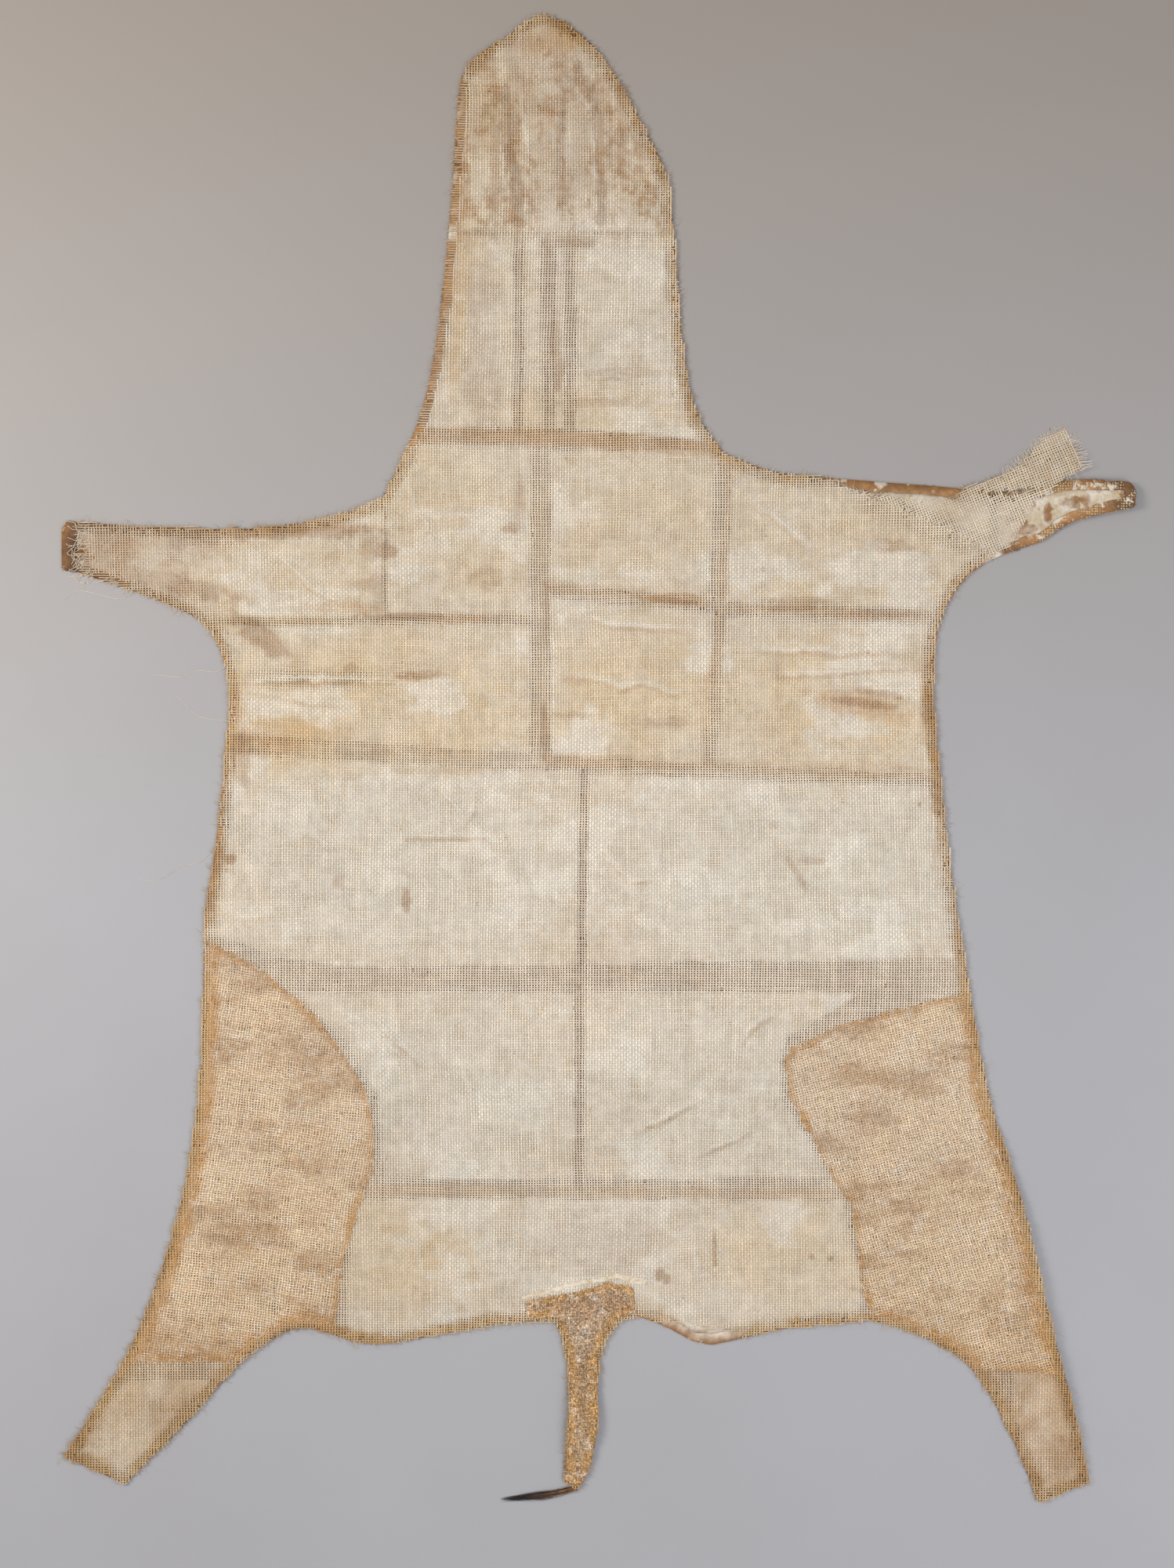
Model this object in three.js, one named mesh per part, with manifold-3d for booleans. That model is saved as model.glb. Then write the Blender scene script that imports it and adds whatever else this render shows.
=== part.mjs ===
// Zebra skin rug, laid out flat with its hair side down and its lined back up.
// Millimetres. +Z is up, +Y points to the nose and +X to the right foreleg as seen from above.
// The origin is on the floor, under the middle of the skin's outline.
import * as THREE from 'three';
import { mergeVertices } from 'three/addons/utils/BufferGeometryUtils.js';
import Module from 'manifold-3d';

const wasm = await Module();
wasm.setup();

// Thickness of each layer, and the air between one layer and the next.
const HIDE_THICK = 3;
const LINING_THICK = 1;
const SCRIM_THICK = 1;
const LAYER_GAP = 0.3;
const LINING_FOOT = HIDE_THICK + LAYER_GAP;
const SCRIM_FOOT = LINING_FOOT + LINING_THICK + LAYER_GAP;
const PATCH_FOOT = SCRIM_FOOT + SCRIM_THICK + LAYER_GAP;

// Half the overall width and half the overall length of the skin.
const HALF_WIDTH = 889;
const HALF_LENGTH = 1231;

// Step along an edge, and the cell of the grid that carries the raised places.
const EDGE_STEP = 34;
const GRID_CELL = 20;
const GRID_MARGIN = 31;
const FLAT_WITHIN = 0.06;

// How far the scrim and the lining stay inside the hide's edge.
const SCRIM_HEM = 4;
const LINING_HEM = 16;

// The hide's edge, anticlockwise from the nose. Each run is a smooth curve; runs meet at corners.
const HIDE_RUNS = [
  { part: 'head and neck, left', points: [[-95, 1231], [-120, 1222], [-142, 1200], [-185, 1176],
    [-210, 1155], [-229, 1112], [-243, 920], [-261, 738], [-280, 621], [-306, 537], [-355, 433]] },
  { part: 'left foreleg, front', points: [[-355, 433], [-433, 403], [-576, 381], [-758, 385],
    [-881, 394]] },
  { part: 'left foreleg, end', points: [[-889, 381], [-889, 313]] },
  { part: 'left foreleg, back', points: [[-862, 309], [-732, 264], [-647, 218], [-611, 127],
    [-614, 49], [-631, -120], [-652, -260]] },
  { part: 'left flank and thigh', points: [[-652, -260], [-660, -536], [-690, -731], [-731, -868],
    [-786, -997], [-884, -1156]] },
  { part: 'left hind leg, inside', points: [[-784, -1201], [-680, -1095], [-589, -997],
    [-511, -946], [-472, -943], [-368, -969], [-186, -939], [-72, -928]] },
  { part: 'tail, left', points: [[-72, -928], [-53, -985], [-49, -1069], [-57, -1195]] },
  { part: 'tail, end', points: [[-35, -1210], [-17, -1184]] },
  { part: 'tail, right', points: [[-17, -1184], [-3, -1120], [1, -1002], [30, -936], [64, -923]] },
  { part: 'torn hem', points: [[64, -923], [110, -939], [172, -970], [230, -962], [308, -944],
    [451, -930]] },
  { part: 'right hind leg, inside', points: [[451, -930], [529, -952], [620, -1010], [685, -1121],
    [731, -1231]] },
  { part: 'right hind leg, outside', points: [[812, -1199], [789, -1082], [750, -939], [705, -744],
    [649, -562], [614, -373]] },
  { part: 'right flank', points: [[614, -373], [588, -211], [568, -42], [555, 114], [568, 231],
    [627, 316], [737, 361]] },
  { part: 'right foreleg, back', points: [[737, 361], [789, 394], [887, 416]] },
  { part: 'right foreleg, end', points: [[889, 446], [880, 458]] },
  { part: 'right foreleg, front', points: [[809, 463], [763, 459], [685, 442], [555, 452],
    [412, 463], [295, 475], [211, 504]] },
  { part: 'neck and head, right', points: [[211, 504], [165, 569], [142, 673], [130, 816],
    [116, 946], [94, 1011], [25, 1135], [-5, 1178], [-57, 1222]] },
];

// The scrim is torn loose on the right foreleg and pulled forwards over the floor as a flap.
const FLAP_OUTER = [[805, 481], [781, 537], [775, 546], [753, 543], [732, 528], [706, 498], [672, 470]];
const FLAP_CORNERS = [[600, 436], [757, 450], [778, 466], ...FLAP_OUTER, [607, 452]];
const BARE_TIP = [[668, 325], [950, 325], [950, 475], [777, 475], [759, 454], [724, 423], [694, 369]];
const BARE_STRIP = [[398, 500], [398, 450], [440, 443], [510, 433], [560, 430], [594, 431], [606, 446],
  [606, 500]];
const TORN_HEM = [[104, -990], [242, -990], [242, -947], [172, -938], [104, -926]];

// The lining panels. Each is the part of the lined area that lies inside its own corners.
const LINING_PANELS = [
  { name: 'lining_head', corners: [[-300, 874], [200, 874], [200, 1300], [-300, 1300]] },
  { name: 'lining_neck_left', corners: [[-300, 552], [-139, 549], [-139, 868], [-300, 868]] },
  { name: 'lining_neck_strip', corners: [[-123, 549], [-94, 549], [-94, 868], [-123, 868]] },
  { name: 'lining_neck_middle', corners: [[-69, 547], [-56, 547], [-56, 848], [-69, 848]] },
  { name: 'lining_neck_right', corners: [[-36, 545], [200, 525], [200, 868], [-4, 868], [-4, 848],
    [-36, 848]] },
  { name: 'lining_foreleg_left', corners: [[-860, 230], [-355, 236], [-355, 600], [-860, 600]] },
  { name: 'lining_shoulder_left', corners: [[-350, 238], [-112, 240], [-112, 515], [-350, 522]] },
  { name: 'lining_side_left', corners: [[-640, 47], [-112, 10], [-112, 222], [-640, 222]] },
  { name: 'lining_withers', corners: [[-79, 289], [186, 268], [198, 510], [-79, 514]] },
  { name: 'lining_back', corners: [[-79, 4], [174, -10], [186, 110], [194, 244], [-79, 268]] },
  { name: 'lining_shoulder_right', corners: [[210, 258], [650, 242], [650, 520], [222, 520]] },
  { name: 'lining_side_right', corners: [[192, -10], [620, -30], [620, 226], [212, 238], [204, 100]] },
  { name: 'lining_loin_left', corners: [[-640, 10], [-30, -22], [-34, -342], [-430, -346],
    [-560, -320], [-640, -290]] },
  { name: 'lining_loin_right', corners: [[-16, -24], [620, -46], [640, -330], [-22, -342]] },
  { name: 'lining_rump_left', corners: [[-500, -386], [-36, -386], [-37, -698], [-355, -698],
    [-365, -560], [-420, -470]] },
  { name: 'lining_rump_right', corners: [[-22, -386], [440, -386], [380, -425], [318, -462],
    [300, -503], [310, -562], [385, -694], [-23, -698]] },
  { name: 'lining_hem', corners: [[-405, -728], [408, -728], [436, -870], [440, -990],
    [62, -990], [62, -900], [-118, -905], [-118, -990], [-420, -990]] },
  { name: 'lining_leg_left', corners: [[-900, -1030], [-600, -1030], [-600, -1260], [-900, -1260]] },
  { name: 'lining_leg_right', corners: [[690, -1010], [850, -1010], [850, -1260], [690, -1260]] },
  { name: 'lining_foreleg_tip', corners: [[660, 300], [868, 300], [868, 480], [660, 480]] },
];

// Second layers of scrim over the thighs and the root of the tail, anticlockwise.
const THIGH_LEFT = [[-720, -300], [-634, -305], [-563, -341], [-472, -419], [-420, -484],
  [-381, -549], [-368, -614], [-371, -679], [-394, -744], [-426, -861], [-436, -1000], [-900, -1000]];
const THIGH_RIGHT = [[640, -378], [477, -419], [386, -445], [321, -477], [306, -503], [315, -562],
  [386, -692], [419, -744], [438, -887], [490, -1000], [860, -1030], [860, -378]];
const TAIL_PATCH = [[60, -930], [62, -894], [53, -868], [13, -868], [-37, -882], [-86, -890],
  [-122, -900], [-116, -940], [-90, -990], [-80, -1180], [20, -1180], [20, -990]];

// Raised places of the whole stack: the curled foreleg tip, the loose thigh edge and the arched tail.
const TIP_CURL = { startX: 660, endX: 889, height: 13, backY: 416, frontY: 460 };
const EDGE_CURL = { fromX: 660, fromY: -600, toX: 812, toY: -1199, reach: 95, height: 8 };
const TAIL_ARCH = { fromY: -985, toY: -1205, halfWidth: 90, height: 6 };
const THIGH_CREASE = { fromX: 425, fromY: -880, toX: 725, toY: -955, halfWidth: 42, height: 5 };
const CREASES = [
  { fromX: 405, fromY: 450, toX: 660, toY: 336, halfWidth: 30, height: 4 },
  { fromX: 215, fromY: 250, toX: 560, toY: 232, halfWidth: 26, height: 2.5 },
  { fromX: -600, fromY: 135, toX: -340, toY: 133, halfWidth: 26, height: 2.5 },
];

// The scrim's flap drops from the hide's edge to the floor between these two distances.
const FLAP_DROP = { edgeX: 600, edgeY: 448, slope: 0.08, start: 28, end: 66 };

// Frayed threads along the flap, and the hair at the end of the tail.
const FRAY_STRIP = 3;
const FRAY_RADIUS = 0.45;
const FRAY_DROOP = 0.3;
const FRAYS = [
  { fromCorner: 0, toCorner: 1, count: 14, towardsX: 22, towardsY: 3 },
  { fromCorner: 2, toCorner: 6, count: 22, towardsX: -7, towardsY: 14 },
];
const TUFT = { rootX: -49.6, rootY: -1207.8, rootLong: 13, rootWide: 6, rootHigh: 3.2, turn: -0.6 };
const TUFT_LOCKS = { count: 16, rootRadius: 2.4, tipRadius: 0.6, steps: 4, spread: 10 };
const TUFT_TIPS = { nearX: -104, farX: -156, frontY: -1211, backY: -1229.5 };

// Points at even steps along a smooth curve through hand-placed points.
function smoothRun(points, step) {
  const curve = new THREE.SplineCurve(points.map(([x, y]) => new THREE.Vector2(x, y)));
  return curve.getSpacedPoints(Math.max(1, Math.round(curve.getLength() / step)));
}

// One closed edge from several runs, without the doubled points where runs meet.
function closedEdge(runs, step) {
  const points = runs.flatMap((run) => smoothRun(run, step));
  return points.filter((point, index) => {
    const next = points[(index + 1) % points.length];
    return point.distanceTo(next) > 0.5;
  });
}

// The shortest distance from a point to a closed edge.
function distanceToEdge(point, edge) {
  const nearest = new THREE.Vector3();
  const place = new THREE.Vector3(point.x, point.y, 0);
  let shortest = Infinity;
  edge.forEach((start, index) => {
    const end = edge[(index + 1) % edge.length];
    const side = new THREE.Line3(new THREE.Vector3(start.x, start.y, 0), new THREE.Vector3(end.x, end.y, 0));
    side.closestPointToPoint(place, true, nearest);
    shortest = Math.min(shortest, nearest.distanceTo(place));
  });
  return shortest;
}

// An edge moved inwards by a distance along the mean of each corner's two normals, without the
// points that would come closer than that to another stretch of the edge.
function insetEdge(edge, distance) {
  const moved = edge.map((point, index) => {
    const before = edge[(index + edge.length - 1) % edge.length];
    const after = edge[(index + 1) % edge.length];
    const first = point.clone().sub(before).normalize();
    const second = after.clone().sub(point).normalize();
    const inward = new THREE.Vector2(-first.y - second.y, first.x + second.x).normalize();
    const spread = Math.max(0.5, inward.dot(new THREE.Vector2(-first.y, first.x)));
    return point.clone().addScaledVector(inward, distance / spread);
  });
  return moved.filter((point) => distanceToEdge(point, edge) > 0.98 * distance);
}

function smoothStep(low, high, value) {
  return THREE.MathUtils.smoothstep(value, low, high);
}

// A soft ridge along a line: a raised cosine across it, fading out at both ends.
function ridge(line, x, y) {
  const length = Math.hypot(line.toX - line.fromX, line.toY - line.fromY);
  const alongX = (line.toX - line.fromX) / length;
  const alongY = (line.toY - line.fromY) / length;
  const along = (x - line.fromX) * alongX + (y - line.fromY) * alongY;
  const across = Math.abs((x - line.fromX) * alongY - (y - line.fromY) * alongX);
  if (across >= line.halfWidth || along <= 0 || along >= length) {
    return 0;
  }
  const crown = 0.5 + 0.5 * Math.cos(Math.PI * across / line.halfWidth);
  return line.height * crown * Math.sin(Math.PI * along / length);
}

// Height of the curled right foreleg: it grows with the square of the way to the tip.
function tipCurl(x, y) {
  const way = THREE.MathUtils.clamp((x - TIP_CURL.startX) / (TIP_CURL.endX - TIP_CURL.startX), 0, 1);
  const towardsFront = smoothStep(TIP_CURL.backY, TIP_CURL.frontY, y);
  const inside = y > 200 ? 1 : 0;
  return inside * TIP_CURL.height * way * way * (1 - 0.35 * towardsFront);
}

// Height of the loose outer edge of the right hind leg, level again at both ends.
function edgeCurl(x, y) {
  const length = Math.hypot(EDGE_CURL.toX - EDGE_CURL.fromX, EDGE_CURL.toY - EDGE_CURL.fromY);
  const alongX = (EDGE_CURL.toX - EDGE_CURL.fromX) / length;
  const alongY = (EDGE_CURL.toY - EDGE_CURL.fromY) / length;
  const along = (x - EDGE_CURL.fromX) * alongX + (y - EDGE_CURL.fromY) * alongY;
  const inwards = (x - EDGE_CURL.fromX) * alongY - (y - EDGE_CURL.fromY) * alongX;
  const nearness = THREE.MathUtils.clamp(1 - inwards / EDGE_CURL.reach, 0, 1.3);
  if (along <= 0 || along >= length) {
    return 0;
  }
  return EDGE_CURL.height * nearness * nearness * Math.sin(Math.PI * along / length);
}

// Height of the tail's arch, which stays clear of the floor between its root and its end.
function tailArch(x, y) {
  const way = (TAIL_ARCH.fromY - y) / (TAIL_ARCH.fromY - TAIL_ARCH.toY);
  if (Math.abs(x + 25) > TAIL_ARCH.halfWidth || way <= 0 || way >= 1) {
    return 0;
  }
  return TAIL_ARCH.height * Math.sin(Math.PI * way) ** 2;
}

// The underside of the hide. Rises too small to see are level.
function hideLift(x, y) {
  const lift = tipCurl(x, y) + edgeCurl(x, y) + tailArch(x, y) + ridge(THIGH_CREASE, x, y);
  return lift < 0.08 ? 0 : lift;
}

// The underside of the scrim, counted from where it lies flat: it adds its own creases, and
// past the foreleg's front edge it sinks to the floor.
function scrimLift(x, y) {
  const creased = CREASES.reduce((height, crease) => Math.max(height, ridge(crease, x, y)), 0);
  const lift = hideLift(x, y) + (creased < 0.08 ? 0 : creased);
  const edgeLine = FLAP_DROP.edgeY + FLAP_DROP.slope * (x - FLAP_DROP.edgeX);
  const drop = x > FLAP_DROP.edgeX ? smoothStep(FLAP_DROP.start, FLAP_DROP.end, y - edgeLine) : 0;
  return (lift + SCRIM_FOOT) * (1 - drop) - SCRIM_FOOT;
}

function toManifold(geometry) {
  const bare = geometry.clone();
  bare.deleteAttribute('normal');
  bare.deleteAttribute('uv');
  const merged = mergeVertices(bare, 1e-4);
  const vertProperties = Float32Array.from(merged.attributes.position.array);
  const triVerts = Uint32Array.from(merged.index.array);
  return new wasm.Manifold(new wasm.Mesh({ numProp: 3, vertProperties, triVerts }));
}

// The triangles of a solid, with those that a cut leaves in one plane merged.
function toGeometry(solid) {
  const mesh = solid.simplify(FLAT_WITHIN).getMesh();
  const geometry = new THREE.BufferGeometry();
  const positions = new Float32Array(mesh.numVert * 3);
  for (let vertex = 0; vertex < mesh.numVert; vertex += 1) {
    for (let axis = 0; axis < 3; axis += 1) {
      positions[vertex * 3 + axis] = mesh.vertProperties[vertex * mesh.numProp + axis];
    }
  }
  geometry.setAttribute('position', new THREE.BufferAttribute(positions, 3));
  geometry.setIndex(new THREE.BufferAttribute(Uint32Array.from(mesh.triVerts), 1));
  const flat = geometry.toNonIndexed();
  flat.computeVertexNormals();
  return flat;
}

// Everything below a raised surface, down to a level far under the floor.
function groundBelow(lift, height) {
  const depth = 60;
  const width = 2 * (HALF_WIDTH + GRID_MARGIN);
  const length = 2 * (HALF_LENGTH + GRID_MARGIN);
  const columns = Math.round(width / GRID_CELL);
  const rows = Math.round(length / GRID_CELL);
  const box = new THREE.BoxGeometry(width, length, depth, columns, rows, 1);
  const position = box.attributes.position;
  for (let index = 0; index < position.count; index += 1) {
    const top = position.getZ(index) > 0;
    const level = top ? height + lift(position.getX(index), position.getY(index)) : -depth;
    position.setZ(index, level);
  }
  return toManifold(box);
}

// A layer of one thickness on a raised surface.
function layer(lift, foot, thick) {
  return groundBelow(lift, foot + thick).subtract(groundBelow(lift, foot));
}

// The upright prism over a closed edge.
function prism(edge) {
  const half = 50;
  const shape = new THREE.Shape(edge);
  const geometry = new THREE.ExtrudeGeometry(shape, { depth: 2 * half, bevelEnabled: false, steps: 1 });
  geometry.translate(0, 0, -half);
  return toManifold(geometry);
}

function cornerPrism(corners) {
  return prism(corners.map(([x, y]) => new THREE.Vector2(x, y)));
}

// A thin strand or lock: a three-sided rod that follows a curve and tapers to its tip.
function strand(curve, rootRadius, tipRadius, steps) {
  const rod = new THREE.CylinderGeometry(tipRadius, rootRadius, 1, 3, steps);
  const position = rod.attributes.position;
  const up = new THREE.Vector3(0, 0, 1);
  for (let index = 0; index < position.count; index += 1) {
    const way = THREE.MathUtils.clamp(position.getY(index) + 0.5, 0, 1);
    const tangent = curve.getTangent(way);
    const side = new THREE.Vector3().crossVectors(tangent, up).normalize();
    const lift = new THREE.Vector3().crossVectors(side, tangent).normalize();
    const place = curve.getPoint(way);
    place.addScaledVector(side, position.getX(index));
    place.addScaledVector(lift, position.getZ(index));
    position.setXYZ(index, place.x, place.y, place.z);
  }
  return toManifold(rod);
}

function joinAll(solids) {
  return solids.reduce((joined, solid) => joined.add(solid));
}

function named(name, solid, material) {
  const mesh = new THREE.Mesh(toGeometry(solid), material);
  mesh.name = name;
  return mesh;
}

const leather = new THREE.MeshStandardMaterial({ color: 0xb97b3c, roughness: 0.8, metalness: 0 });
const stiffLining = new THREE.MeshStandardMaterial({ color: 0xe9e4d6, roughness: 0.95, metalness: 0 });
const openScrim = new THREE.MeshStandardMaterial({ color: 0xd9cfbc, roughness: 0.95, metalness: 0 });
const doubledScrim = new THREE.MeshStandardMaterial({ color: 0xc9a77c, roughness: 0.95, metalness: 0 });
const tailHair = new THREE.MeshStandardMaterial({ color: 0x2b1a16, roughness: 0.6, metalness: 0 });

// The scrim in plan: the hide's shape less a hem, the bare places and the tear, plus the flap.
function scrimPlan(hideEdge) {
  return prism(insetEdge(hideEdge, SCRIM_HEM))
    .subtract(cornerPrism(BARE_TIP))
    .subtract(cornerPrism(BARE_STRIP))
    .subtract(cornerPrism(TORN_HEM))
    .add(cornerPrism(FLAP_CORNERS));
}

// The flap's outer edge, moved outwards by a distance.
function besideFlap(distance) {
  const edge = FLAP_OUTER.map(([x, y]) => new THREE.Vector2(x, y));
  return edge.map((point, index) => {
    const before = edge[Math.max(0, index - 1)];
    const after = edge[Math.min(edge.length - 1, index + 1)];
    const along = after.clone().sub(before).normalize();
    return point.clone().add(new THREE.Vector2(along.y, -along.x).multiplyScalar(distance));
  });
}

// The narrow strip along the flap's outer edge that the frayed threads grow from.
function frayStrip(scrimLayer) {
  const band = [...besideFlap(LAYER_GAP + FRAY_STRIP), ...besideFlap(LAYER_GAP).reverse()];
  return prism(band).intersect(scrimLayer);
}

// One row of frayed threads, each from the strip's middle outwards and a little down.
function frayRow(row) {
  const corners = besideFlap(LAYER_GAP + FRAY_STRIP / 2).slice(row.fromCorner, row.toCorner + 1);
  const middle = new THREE.CurvePath();
  corners.slice(1).forEach((corner, index) => middle.add(new THREE.LineCurve(corners[index], corner)));
  return Array.from({ length: row.count }, (_, index) => {
    const place = middle.getPointAt((index + 0.5) / row.count);
    const shorter = 0.75 + 0.25 * Math.cos(2.4 * index);
    const rootZ = SCRIM_FOOT + scrimLift(place.x, place.y) + SCRIM_THICK / 2;
    const length = Math.hypot(row.towardsX, row.towardsY) * shorter;
    const root = new THREE.Vector3(place.x, place.y, rootZ);
    const tip = new THREE.Vector3(place.x + row.towardsX * shorter, place.y + row.towardsY * shorter,
      Math.max(FRAY_RADIUS / 2, rootZ - FRAY_DROOP * length));
    return strand(new THREE.LineCurve3(root, tip), FRAY_RADIUS, FRAY_RADIUS / 2, 1);
  });
}

// The flattened knob at the end of the tail that the tuft's locks grow from.
function tuftRoot() {
  const knob = new THREE.SphereGeometry(1, 10, 6);
  knob.scale(TUFT.rootLong, TUFT.rootWide, TUFT.rootHigh);
  knob.rotateZ(TUFT.turn);
  knob.translate(TUFT.rootX, TUFT.rootY, TUFT.rootHigh);
  return toManifold(knob);
}

// The locks side by side: out of the knob, then round to the left along the floor.
function tuftLocks() {
  const along = new THREE.Vector2(Math.cos(TUFT.turn), Math.sin(TUFT.turn));
  const outwards = new THREE.Vector2(along.y, -along.x);
  return Array.from({ length: TUFT_LOCKS.count }, (_, index) => {
    const way = index / (TUFT_LOCKS.count - 1);
    const offset = THREE.MathUtils.lerp(-1, 1, way) * TUFT_LOCKS.spread;
    const stem = 5 + 9 * way;
    const longer = 0.5 + 0.5 * Math.sin(2.1 * index + 0.6);
    const low = TUFT_LOCKS.rootRadius / 2;
    const root = new THREE.Vector3(TUFT.rootX + along.x * offset, TUFT.rootY + along.y * offset, low);
    const bend = new THREE.Vector3(root.x + outwards.x * stem, root.y + outwards.y * stem, low);
    const tip = new THREE.Vector3(THREE.MathUtils.lerp(TUFT_TIPS.nearX, TUFT_TIPS.farX, longer),
      THREE.MathUtils.lerp(TUFT_TIPS.frontY, TUFT_TIPS.backY, way), TUFT_LOCKS.tipRadius / 2);
    const path = new THREE.QuadraticBezierCurve3(root, bend, tip);
    return strand(path, TUFT_LOCKS.rootRadius, TUFT_LOCKS.tipRadius, TUFT_LOCKS.steps);
  });
}

const hideEdge = closedEdge(HIDE_RUNS.map((run) => run.points), EDGE_STEP);
const hideLayer = layer(hideLift, 0, HIDE_THICK);
const liningLayer = layer(hideLift, LINING_FOOT, LINING_THICK);
const scrimLayer = layer(scrimLift, SCRIM_FOOT, SCRIM_THICK);
const patchLayer = layer(scrimLift, PATCH_FOOT, SCRIM_THICK);
const linedArea = prism(insetEdge(hideEdge, LINING_HEM)).intersect(liningLayer);
const scrimArea = scrimPlan(hideEdge);
const patchArea = scrimArea.intersect(patchLayer);

const rug = new THREE.Group();
rug.add(named('hide', prism(hideEdge).intersect(hideLayer), leather));
LINING_PANELS.forEach((panel) => {
  rug.add(named(panel.name, cornerPrism(panel.corners).intersect(linedArea), stiffLining));
});
rug.add(named('scrim', scrimArea.intersect(scrimLayer), openScrim));
rug.add(named('thigh_patch_left', cornerPrism(THIGH_LEFT).intersect(patchArea), doubledScrim));
rug.add(named('thigh_patch_right', cornerPrism(THIGH_RIGHT).intersect(patchArea), doubledScrim));
rug.add(named('tail_patch', cornerPrism(TAIL_PATCH).intersect(patchArea), doubledScrim));
rug.add(named('flap_fringe', joinAll([frayStrip(scrimLayer), ...FRAYS.flatMap(frayRow)]), openScrim));
rug.add(named('tail_tuft', joinAll([tuftRoot(), ...tuftLocks()]), tailHair));
export default rug;
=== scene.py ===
"""A zebra skin rug laid hair side down, so that its lined back shows.

The tanned skin lies on the floor. Stiff white lining panels are glued to its back with gaps between
them, and one open-weave scrim is glued over the panels. The scrim is torn loose at the right foreleg.
Second layers of scrim lie over both thighs and over the root of the tail. All sizes are in
millimetres and become metres only where a mesh is filled.
"""

import logging
from dataclasses import dataclass, field
from enum import Enum

import bpy
import numpy as np
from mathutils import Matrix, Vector
from mathutils.geometry import delaunay_2d_cdt


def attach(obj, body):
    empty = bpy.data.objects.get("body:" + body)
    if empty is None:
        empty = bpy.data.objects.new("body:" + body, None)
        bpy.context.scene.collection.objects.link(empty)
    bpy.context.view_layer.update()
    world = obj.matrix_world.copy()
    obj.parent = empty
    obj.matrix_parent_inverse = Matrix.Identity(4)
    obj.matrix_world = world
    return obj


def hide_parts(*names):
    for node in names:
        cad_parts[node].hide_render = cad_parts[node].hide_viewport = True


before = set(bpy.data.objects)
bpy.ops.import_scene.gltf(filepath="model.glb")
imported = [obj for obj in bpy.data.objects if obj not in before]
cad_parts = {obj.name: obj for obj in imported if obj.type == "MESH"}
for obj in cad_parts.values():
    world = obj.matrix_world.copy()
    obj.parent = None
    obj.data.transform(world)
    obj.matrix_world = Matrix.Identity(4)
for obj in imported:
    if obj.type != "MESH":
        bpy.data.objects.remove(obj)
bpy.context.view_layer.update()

LOG = logging.getLogger("zebra_skin_rug")
Array = np.ndarray
Colour = tuple[float, float, float]
Line = tuple[tuple[float, float], ...]
Seam = tuple[Line, float, float]
MM = 0.001
# Heights of the glued layers above the underside of the skin, in mm.
HIDE_TOP = 3.0
LINING_TOP = 4.3
LINING_FOOT = 3.3
SCRIM_FOOT = 4.6
SCRIM_MIDDLE = 5.15
PATCH_MIDDLE = 6.3
# Distances past this are cut off, and edges round less than this area are left out, in mm.
FAR_INSIDE = 70.0
LEAST_AREA = 60.0
# The bake map spans this many mm, and an open cloth counts as this share of its rectangle at least.
BAKE_SPAN = 3000.0
# The forelegs lie in front of FORELEGS, the head's brown part in front of HEAD, the tail behind TAIL.
FORELEGS = 200
HEAD = 880
TAIL = -985.0
TAIL_X = -25
# Noise: corners on a side of its lattice, and where the rug's middle lies on it.
LATTICE = 256
LATTICE_X = 97.3
LATTICE_Y = 131.7
# Each octave of a fractal noise is this much lower than the one before, and the sum is divided.
OCTAVES = 4
OCTAVE_SHARE = 0.55
OCTAVE_SUM = 1.6


class Slot(Enum):
    """The record's material slots."""
    HIDE = "hide"
    LINING = "lining"
    SCRIM = "scrim"
    PATCH = "patch"
    TAIL_HAIR = "tail_hair"


class Run(Enum):
    """The two directions of thread in a plain weave."""
    WARP = 0
    WEFT = 1


# Numbers and colours.

def linear(hex_text: str) -> Colour:
    """Turns an sRGB hex colour into linear light.

    Args:
        hex_text: Six hex digits after a hash sign.
    Returns:
        Red, green and blue from 0 to 1, linear.
    """
    parts = [int(hex_text[i:i + 2], 16) / 255.0 for i in (1, 3, 5)]
    return tuple(p / 12.92 if p <= 0.04045 else ((p + 0.055) / 1.055) ** 2.4 for p in parts)


def smoothstep(start: float, end: float, value: Array) -> Array:
    """Rises from 0 at start to 1 at end on a smooth S, 3 t squared less 2 t cubed."""
    way = np.clip((value - start) / (end - start), 0.0, 1.0)
    return way * way * (3.0 - 2.0 * way)


def noise(x: Array, y: Array, wave: float, seed: int) -> Array:
    """Smooth value noise: random numbers on a lattice of the given wave, blended by smooth S curves.

    Args:
        x, y: Places across and along, in mm.
        wave: Distance between lattice points, in mm.
        seed: Picks the lattice.
    Returns:
        Values from -1 to 1.
    """
    lattice = np.random.default_rng(seed).uniform(-1.0, 1.0, (LATTICE, LATTICE))
    u = np.asarray(x) / wave + LATTICE_X
    v = np.asarray(y) / wave + LATTICE_Y
    i = np.floor(u).astype(int)
    j = np.floor(v).astype(int)
    fu = u - i
    fv = v - j
    fu = fu * fu * (3.0 - 2.0 * fu)
    fv = fv * fv * (3.0 - 2.0 * fv)
    i0, i1, j0, j1 = i % LATTICE, (i + 1) % LATTICE, j % LATTICE, (j + 1) % LATTICE
    low = lattice[j0, i0] * (1.0 - fu) + lattice[j0, i1] * fu
    high = lattice[j1, i0] * (1.0 - fu) + lattice[j1, i1] * fu
    return low * (1.0 - fv) + high * fv


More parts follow.
